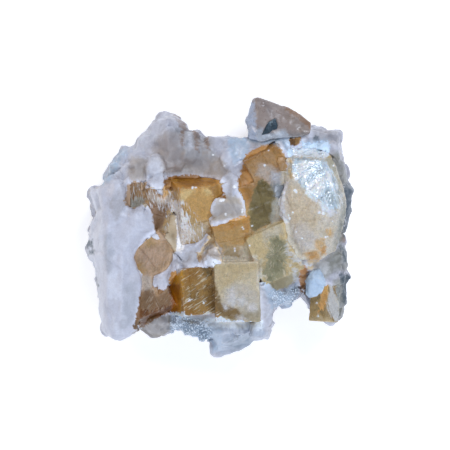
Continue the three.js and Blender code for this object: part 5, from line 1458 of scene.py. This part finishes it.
LEFT_CUBES = [
    ((-22.6, -10.4, 30.8), (14.5, 13, 11), 38, (70, 12)),
    ((-24.4, -22.6, 30.2), (13.5, 14, 12), 24, (294, 14)),
]
LEFT_PATCHES = [
    ("rosy", "#c4a388", 0.8, 2.2, 2.4, [
        [(-27.2, -8), (-23.8, -6.6), (-20.4, -8), (-18.4, -10.6), (-20.4, -13.4), (-24.4, -13.4),
         (-27.2, -11.2)],
    ]),
    ("golden", "#b08c56", 0.85, 2.0, 1.6, [
        [(-25.6, -2), (-22.8, -2), (-21.8, -6.5), (-25, -7)],
        [(-29.5, -13), (-27, -12), (-25, -15), (-27, -17.4)],
    ]),
    ("pale", "#c4b6a8", 0.9, 2.0, 1.6, [
        [(-27, -16.6), (-23.4, -17), (-23, -20.4), (-25.2, -22.6), (-27.4, -21.5)],
    ]),
    ("brown", "#876848", 0.95, 2.0, 1.6, [
        [(-28, -22.4), (-23.8, -21.4), (-21, -23), (-16, -21), (-16, -27), (-23.8, -28.8), (-28, -27.6)],
    ]),
    ("dark", "#724720", 1.0, 1.5, 1.2, [
        [(-30, -35), (-27.8, -30.2), (-27.6, -27.6), (-23.8, -28.6), (-19, -26.6), (-16, -26), (-16, -30),
         (-20.4, -32), (-25.2, -35)],
    ]),
    ("darkest", "#4f2f12", 0.85, 1.2, 1.2, [
        [(-30, -35), (-27.8, -31.6), (-25, -30.4), (-22, -29.4), (-21, -31), (-25, -34)],
    ]),
    ("amber side", "#8f5210", 1.0, 1.6, 0.6, [
        [(-16.8, -19.1), (-14.3, -19.1), (-14.3, -29.2), (-16.5, -29.2)],
    ]),
    ("bloom", "#b9afa9", 0.75, 1.0, 1.4, [
        [(-28.1, 15), (-24.4, 15.3), (-24.1, 10.3), (-27.5, 9.6)],
    ]),
]
LEFT_STREAKS = [
    (None, 86, 2.4, 0.5, 0.6, [(-28, -4), (-18, -6), (-16, -14), (-22, -16), (-29, -12)]),
    (None, 58, 2.6, 0.5, 0.6, [(-28, -17), (-22, -19), (-16, -20), (-16, -28), (-28, -31)]),
]

left = crystal_piece("fluorite_left", "fluorite_cubes_left_lower", LEFT_CUBES, CUBE_VOXEL, 91)
left_patches = toned(left, LEFT_PATCHES)
streaked(left, LEFT_STREAKS, [])
# Brown fluorite over pale ground, dulled by etching.
brown_fluorite = fluorite("brown fluorite, dulled", "#bd9f82", "#ac8c69", left_patches,
                          ("#c9b8a4", 0.56, 0.6), ("#705440", 0.42, 0.45), 0.16, "#d9a663")
left.data.materials.append(brown_fluorite)
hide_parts("fluorite_cubes_left_lower")
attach(left, "root")

CORNER_LEFT_VOXEL = 0.22
CORNER_LEFT_CUBES = [((-27.4, 10.7, 31.2), (6.4, 9.4, 8), 2, (175, 15))]
CORNER_LEFT_PATCHES = [
    ("dark", "#7f6040", 0.95, 1.5, 0.8, [
        [(-33, 16.4), (-24, 16.6), (-25.6, 14), (-29.2, 13.8), (-30, 12.4), (-30, 5), (-33, 5)],
    ]),
    ("grey", "#a3a69c", 0.8, 1.0, 0.8, [
        [(-30.4, 9), (-27, 10), (-25, 9), (-26, 6.8), (-28.4, 5.4), (-30.4, 5.6)],
    ]),
]
CORNER_LEFT_STREAKS = [(None, 94, 2.6, 0.5, 1, [(-31.4, 14.6), (-25, 15), (-25, 8), (-31.4, 7)])]

left_corner = crystal_piece("fluorite_left_corner", "fluorite_cube_left_upper", CORNER_LEFT_CUBES,
                            CORNER_LEFT_VOXEL, 101)
left_corner_patches = toned(left_corner, CORNER_LEFT_PATCHES)
streaked(left_corner, CORNER_LEFT_STREAKS, [])
# Brown fluorite, as grown: its growth bands stand out pale against a dark face.
striped_fluorite = fluorite("brown fluorite, striped", "#9c7c58", "#876544", left_corner_patches,
                            ("#d2ccc6", 0.54, 0.85), ("#6d4c2e", 0.45, 0.7), 0.16, "#d9a663")
left_corner.data.materials.append(striped_fluorite)
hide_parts("fluorite_cube_left_upper")
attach(left_corner, "root")

# --------------------------------------------------------------------
# Great fluorite crystal: a rounded, pale, much-cleaved crystal along the right, with a pearly bloom of
# loose cleavage on its upper right, its sheen a painted reflection, and orange showing through at its lower
# right.
# --------------------------------------------------------------------

GREAT_VOXEL = 0.3
GREAT_LAP = 0.3
# Its cleaved flats, and a fine swell, each as size and height.
GREAT_FLATS = [(5.5, 0.4), (1.9, 0.16)]
GREAT_GRAIN = (0.8, 0.04)
# The pearly flakes fan out from this place, so many to a radian, and are lifted this high. Their edges
# wander, as size and amount, and they come and go over this size.
GREAT_FAN = (35.4, 22.4)
FLAKES = 8.5
FLAKE_RISE = 0.42
FLAKE_WANDER = (3.4, 0.7)
FLAKE_COVER = 3
PEARL_EDGE = 1.6
GREAT_PATCHES = [
    ("rim", "#d3cdc1", 0.9, 2.4, 2.0, [
        [(37.6, 3.9), (40.7, 7.3), (43.3, 10.6), (42.7, 4.9), (41, -0.5), (39, -6.2), (35.3, -10.6),
         (30.9, -12), (36.9, -5.6), (39, -1.2)],
        [(20.4, -1.9), (22.4, -7.9), (26.8, -12), (30.2, -12), (25.8, -6.9), (23.1, -1.9)],
    ]),
    ("straw", "#cfbda0", 0.85, 2.6, 3.0, [
        [(24.1, 14.7), (26.8, 13.3), (29.5, 10.6), (32.2, 8.9), (33.2, 3.9), (31.5, -3.2), (26.8, -3.2),
         (23.5, 1.5), (22.8, 8.9)],
    ]),
    ("grey", "#cbc6c3", 0.75, 2.2, 2.4, [
        [(23.5, 0.2), (28.8, 1.5), (32.2, -3.5), (30.9, -7.9), (26.8, -7.9), (23.8, -4.5)],
    ]),
    ("side beige", "#ddd6c8", 0.9, 1.4, 1.2, [
        [(20.9, 21.4), (22.8, 21.4), (23.1, 14.7), (20.6, 14.7)],
    ]),
    ("gold", "#d2b274", 0.85, 1.5, 0.9, [
        [(22.6, 24.1), (23.8, 23.1), (24.5, 21.4), (23.8, 20.1), (24.5, 17.7), (23.8, 15.7), (22.9, 18.4),
         (22.9, 21.1)],
        [(35.9, 24.5), (37.3, 24.1), (38, 20.7), (36.6, 20.4), (35.9, 22.1)],
    ]),
    # Pale seams, and painted light on the steep left side.
    ("seam", "#e0e2ea", 0.9, 1.4, 1.2, [
        [(21.8, 15), (22.8, 14.7), (21.8, 11.6), (21.4, 7.6), (22.1, 4.2), (23.1, 1.5), (21.4, 0.2),
         (19.7, 1.5), (19.1, 7.3), (20.1, 12.3)],
        [(33.6, 7.9), (36.3, 8.3), (38.6, 6.9), (39.3, 4.6), (37.3, 3.2), (34.6, 4.6)],
    ]),
    ("lip", "#c9c1b0", 0.95, 1.4, 1.2, [
        [(21.4, 0.8), (23.5, 1.5), (24.8, -3.9), (27.2, -8.6), (27.8, -10.6), (25.5, -10.6), (22.8, -5.9)],
    ]),
    ("beige edge", "#bdb8a4", 0.9, 1.6, 1.2, [
        [(35.6, 23.1), (38, 23.1), (40.3, 16.4), (41.3, 11.6), (40, 11.6), (38, 17), (35.9, 20.4)],
    ]),
    # Painted shade along the right edge.
    ("edge slate", "#8b8e89", 0.8, 1.6, 2.4, [
        [(40.8, 4.9), (43.3, 6.9), (42.7, -0.5), (41, -5.2), (38.4, -8.6), (38.4, -4), (39.3, 0.2)],
    ]),
    # Painted reflection: pearl film, pearl fan and gleam are the sheen of lifted cleavage flakes.
    ("pearl film", "#f2f9ff", 0.97, 2.6, 0.8, [
        [(21.8, 25.1), (23.1, 27.2), (25.8, 28.2), (36.9, 29.2), (37.3, 25.8), (35.9, 23.4), (32.2, 23.3),
         (28.8, 23.6), (26.1, 23.9), (23.8, 23.4)],
    ]),
    ("pearl fan", "#d3e6f4", 1.0, 2.0, 0.7, [
        [(23.8, 20.4), (24.8, 22.8), (28.2, 23), (31.5, 22.8), (34.2, 22.5), (35.9, 21.6), (37.3, 19.1),
         (39, 15.3), (40.3, 11.3), (40.3, 7.3), (38.6, 4.9), (35.9, 6.6), (33.6, 8.6), (30.9, 10),
         (28.5, 12), (26.8, 14.3), (25.5, 17), (24.1, 18.7)],
    ]),
    ("pearl grey", "#a9b5b8", 0.9, 1.6, 1.2, [
        [(35.3, 14.3), (36.6, 13), (38.3, 11), (39.6, 7.9), (38.6, 5.9), (36.3, 7.3), (34.6, 9.6)],
        [(24.5, 18.4), (26.8, 15.3), (27.8, 13.3), (26.5, 14.3)],
    ]),
    ("gleam", "#ffffff", 0.95, 1.2, 0.8, [
        [(28.2, 13), (28.8, 14.3), (30.9, 15.7), (33.2, 17), (34.6, 16.4), (34.9, 13.7), (34.6, 11.3),
         (32.9, 10.3), (30.9, 11.3), (29.5, 11)],
        [(35.3, 19.4), (36.6, 18.4), (38, 15), (38.6, 11.6), (37.3, 12.3), (35.9, 15)],
        [(24.8, 20.7), (27.5, 21.8), (32.9, 21.6), (30.2, 19.7), (26.8, 17.4), (25.5, 18.7)],
        [(26.1, 16.4), (29.5, 18.4), (32.2, 20.1), (30.9, 18), (27.8, 15.3)],
        [(23.5, 25.1), (26.8, 26.5), (34.2, 27.5), (35.9, 25.8), (29.5, 24.8)],
    ]),
    # Painted shade between the pearly flakes.
    ("gap", "#7d8b90", 0.95, 1.2, 0.6, [
        [(34.9, 20.4), (35.4, 19.4), (33.9, 18), (30.9, 16), (28.8, 14.3), (27.8, 14), (28.8, 15.5),
         (31.5, 17.7)],
        [(32.9, 10), (34.9, 10.6), (35.4, 13), (35.6, 10.6), (34.2, 8.9)],
        [(24.8, 22.9), (28.8, 23.1), (32.9, 22.6), (32.9, 22.3), (26.8, 22.5)],
    ]),
    ("crust", "#eaf6ff", 0.9, 0.9, 1.2, [
        [(28.5, 12.3), (30.2, 10.6), (32.2, 9.3), (34.9, 7.6), (35.6, 4.9), (33.9, 6.9), (30.9, 8.9),
         (28.5, 11)],
    ]),
    ("pale edge", "#b3b3aa", 0.9, 1.6, 1.0, [
        [(38.6, 16.4), (40.3, 12.7), (42, 9.3), (42.7, 4.9), (40.8, 4.2), (39.5, 6.9), (39.1, 10.3),
         (38.5, 13.7)],
    ]),
    ("orange", "#d3a765", 0.8, 1.1, 1.4, [
        [(35.6, -0.8), (37.6, -0.5), (37.6, -3.2), (35.9, -3.5)],
        [(31.9, -4.5), (35.3, -3.9), (35.3, -9.3), (33.2, -9.3), (31.9, -6.9)],
        [(27.8, -9.3), (30.5, -7.9), (33.6, -7.9), (33.9, -11), (30.2, -11.6)],
    ]),
    ("orange deep", "#c48c40", 0.8, 0.9, 1.0, [
        [(33.6, -6.9), (35.3, -6.9), (35.3, -9.3), (33.9, -9.3)],
        [(29.9, -8.6), (32.6, -8.6), (32.9, -11), (30.2, -11)],
    ]),
]
GREAT_STREAKS = [
    (GREAT_FAN, 0, 4.4, 0.95, 0.9, [
        (23, 21.6), (26.8, 22.6), (34.8, 23), (37.4, 19), (42.2, 9), (39.6, 5), (36.8, 5.8), (33.8, 9),
        (28.4, 12.6), (25.4, 15), (23.6, 19)]),
    (None, 12, 4.5, 0.9, 0.8, [
        (23, 22), (25.2, 26.8), (28.8, 29.4), (37, 29.4), (37, 24.4), (34.8, 23.4), (30.8, 23.6),
        (26.8, 23)]),
]
GREAT_GLINTS = [(25.1, 12.1, 0.55), (25.4, 11.6, 0.45), (33.2, 4.8, 0.6), (34.6, 4.3, 0.6), (35.3, -3.5, 0.4),
                (36, -3.4, 0.35), (22.9, 3.8, 0.4), (23.3, 2.8, 0.4), (24.3, 4.8, 0.35), (25.5, -1.8, 0.35),
                (27.4, -4, 0.3), (37.6, 1.8, 0.35), (38.2, 20.6, 0.35)]

great = even_copy("fluorite_great", "fluorite_crystal_great", GREAT_VOXEL, 3)
cubes = [node for node in fluorite_nodes if node != "fluorite_crystal_great"]
gaps, _, ways = neighbours(great, cubes, CUBE_REACH)
points = leaned(places(great), gaps, ways, GREAT_LAP, 116)
pearly = [patch[5][0] for patch in GREAT_PATCHES if patch[0].startswith("pearl")]
bloom = within(points[:, :2], pearly, PEARL_EDGE)
from_fan = points[:, :2] - np.array(GREAT_FAN)
sweep = np.arctan2(from_fan[:, 1], from_fan[:, 0]) % (2 * math.pi)
flakes = FLAKES * sweep + FLAKE_WANDER[1] * swell(points, FLAKE_WANDER[0], 115)
flakes = flakes - np.floor(flakes)
height = cleaved(points, GREAT_FLATS, 111) + GREAT_GRAIN[1] * swell(points, GREAT_GRAIN[0], 117)
height += FLAKE_RISE * bloom * (flakes - 0.5) * np.clip(0.6 + swell(points, FLAKE_COVER, 118), 0, 1)
# Its relief comes on between 12 and 15 mm up, clear of the calcite that it stands in.
height *= np.clip(points[:, 2] / 3 - 4, 0, 1) * (gaps > CUBE_CLEAR)
moved(great, points + height[:, None] * facings(great))
great_patches = toned(great, GREAT_PATCHES)
streaked(great, GREAT_STREAKS, GREAT_GLINTS)
keep_place(great, "lay", places(great))
kept(great, "edge", np.zeros(len(points)))
jointed(great, "fluorite_crystal_great")
# Pale fluorite, cleaved: straw-white and satiny, pearly where thin flakes have lifted.
# Its pale streaks are a painted pearly reflection, and the darker streaks between them painted shade.
pale_fluorite = fluorite("pale fluorite, cleaved", "#d8cfc2", "#cec1aa", great_patches,
                         ("#f4fbff", 0.5, 0.85), ("#93a7b3", 0.45, 0.6), 0.12, "#f6ead0", 1.0)
great.data.materials.append(pale_fluorite)
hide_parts("fluorite_crystal_great")
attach(great, "root")

# --------------------------------------------------------------------
# Corner fluorite and the small brown cube: one cube split lengthwise in the cleft at the lower right, and
# a crumb of brown fluorite between the block and the great crystal.
# --------------------------------------------------------------------

CORNER_VOXEL = 0.22
# Its patches run down to this height, because it stands lower than the others.
CORNER_FOOT = 3.0
CORNER_CUBES = [((38.3, -26.2, 24.6), (6.4, 12.6, 8), -5, (178, 45))]
CORNER_PATCHES = [
    ("grey", "#9aa0a0", 0.95, 2.0, 1.4, [
        [(39, -17.7), (43.7, -17.7), (43.7, -33.6), (41.7, -33.9), (40.7, -28.2), (39.3, -23.4)],
    ]),
    ("brown", "#bb9c66", 1.0, 1.3, 0.9, [
        [(28.2, -22.1), (32.2, -23.4), (34.2, -24.8), (33.6, -28.5), (35.3, -31.2), (37.3, -34.2),
         (28.2, -34.2)],
    ]),
    ("brown foot", "#cab58c", 0.9, 1.2, 0.9, [
        [(29.9, -31.9), (32.9, -30.2), (36.3, -30.9), (39.6, -32.9), (40.3, -34.6), (29.9, -34.6)],
    ]),
    ("amber", "#ecb46a", 1.0, 1.4, 0.8, [
        [(33.9, -19.7), (35.6, -18.4), (36.9, -20.4), (36.4, -23.4), (35.8, -26.1), (34.7, -28.5),
         (33.4, -28.8), (33.4, -26.1), (34.4, -23.4), (34.2, -21.4)],
    ]),
    ("pale", "#cccccb", 0.95, 1.4, 1.0, [
        [(36.6, -19.4), (38, -18.7), (38.8, -22.4), (40, -25.8), (41.2, -29.5), (41.3, -32.5), (39, -32.2),
         (36.9, -29.8), (35.9, -27.8), (36.4, -24.8), (37.1, -21.7)],
    ]),
]
CORNER_STREAKS = [(None, 110, 5, 0.7, 0.5, [(30, -19), (43, -19), (43, -34), (30, -34)])]
CORNER_GLINTS = [(33, -30.4, 0.35), (32.6, -26, 0.3), (34, -22.4, 0.3)]

corner = crystal_piece("fluorite_corner", "fluorite_cube_corner", CORNER_CUBES, CORNER_VOXEL, 121)
corner_patches = toned(corner, CORNER_PATCHES, CORNER_FOOT)
streaked(corner, CORNER_STREAKS, CORNER_GLINTS)
# Amber fluorite, broken open along its length.
amber_fluorite = fluorite("amber fluorite, broken", "#ad9468", "#8f7850", corner_patches,
                          ("#d9cdb0", 0.57, 0.6), ("#6f5836", 0.42, 0.5), 0.16, "#e0a85a")
corner.data.materials.append(amber_fluorite)
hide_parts("fluorite_cube_corner")
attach(corner, "root")

CRUMB_VOXEL = 0.18
CRUMB_CUBES = [((25.2, 28.2, 32.4), (4.6, 3.6, 5), 12, (100, 6))]
CRUMB_PATCHES = [
    ("dark", "#5f3d1e", 0.9, 1.0, 0.7, [
        [(23.1, 30.2), (25.1, 29.2), (25.5, 26.5), (23.1, 26.5)],
    ]),
    ("calcite", "#c4c8d6", 1.0, 1.2, 0.5, [
        [(22.1, 31.9), (25.1, 31.2), (24.8, 29.9), (23.5, 29.9), (22.4, 28.5)],
        [(26.8, 28.8), (28.2, 29.9), (28.8, 25.8), (22.1, 25.8), (23.1, 27.2), (25.8, 27.2)],
    ]),
]

crumb = crystal_piece("fluorite_crumb", "fluorite_cube_small", CRUMB_CUBES, CRUMB_VOXEL, 131)
crumb_patches = toned(crumb, CRUMB_PATCHES)
streaked(crumb, [], [])
# Dark brown fluorite, as grown: a crumb that hardly lets light through.
crumb_fluorite = fluorite("dark brown fluorite, crumb", "#9a7444", "#745430", crumb_patches,
                          ("#a08a66", 0.6, 0.5), ("#3c2a1a", 0.4, 0.5), 0.14, "#d09a50")
crumb.data.materials.append(crumb_fluorite)
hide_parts("fluorite_cube_small")
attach(crumb, "root")

# --------------------------------------------------------------------
# Table, light and camera. A white lit table, a large cool window in front, a smaller cool one behind and
# to the right that the pearly cleavage catches, and a little warm light from behind on the left.
# --------------------------------------------------------------------

# In metres. The table lies a fifth of a millimetre lower than the specimen's foot.
TABLE_WIDTH = 4.0
TABLE_TOP = -0.0002
WINDOW_COLOUR = "#e6f0ff"
LAMP_COLOUR = "#ffe6c8"
CAMERA_HEIGHT = 1.2
CAMERA_MIDDLE = (0.00153, 0.00051)
CAMERA_LENS = 276.8

table_mesh = bpy.data.meshes.new("table")
half = TABLE_WIDTH / 2
table_mesh.from_pydata([(-half, -half, 0), (half, -half, 0), (half, half, 0), (-half, half, 0)], [],
                       [(0, 1, 2, 3)])
table = placed("table", table_mesh)
table.location.z = TABLE_TOP
# Opal acrylic, lit from below: matt white, with a glow that softens the shadows.
white = bpy.data.materials.new("white lit table")
white.use_nodes = True
tree = white.node_tree
tree.nodes.clear()
paint = add(tree, "ShaderNodeBsdfDiffuse", {}, {"Color": linear("#ececee")})
glow = add(tree, "ShaderNodeEmission", {}, {"Color": linear("#ffffff"), "Strength": 0.45})
both = add(tree, "ShaderNodeAddShader", {}, {0: paint, 1: glow})
add(tree, "ShaderNodeOutputMaterial", {}, {"Surface": both})
table_mesh.materials.append(white)

for name, spot, width, power, colour in (
    ("window front", (0.10, -0.85, 0.85), 0.9, 7.0, WINDOW_COLOUR),
    ("window behind", (0.30, 0.55, 0.85), 0.38, 4.5, WINDOW_COLOUR),
    ("lamp behind", (-0.75, 0.55, 0.45), 0.3, 1.6, LAMP_COLOUR),
):
    light = bpy.data.lights.new(name, "AREA")
    light.shape = "SQUARE"
    light.size = width
    light.energy = power
    light.color = linear(colour)[:3]
    lamp = placed(name, light)
    lamp.location = spot
    lamp.rotation_mode = "QUATERNION"
    lamp.rotation_quaternion = (Vector((0, 0, 0.02)) - Vector(spot)).to_track_quat("-Z", "Y")

world = bpy.data.worlds.new("pale room")
world.use_nodes = True
world.node_tree.nodes["Background"].inputs["Color"].default_value = linear("#dde3ee")
world.node_tree.nodes["Background"].inputs["Strength"].default_value = 0.5
bpy.context.scene.world = world
bpy.context.scene.view_settings.view_transform = "Standard"

camera = placed("camera", bpy.data.cameras.new("camera"))
camera.location = (CAMERA_MIDDLE[0], CAMERA_MIDDLE[1], CAMERA_HEIGHT)
camera.data.lens = CAMERA_LENS
camera.data.sensor_width = 36
camera.data.clip_start = 0.05
camera.data.clip_end = 10
camera.data.dof.use_dof = False
bpy.context.scene.camera = camera
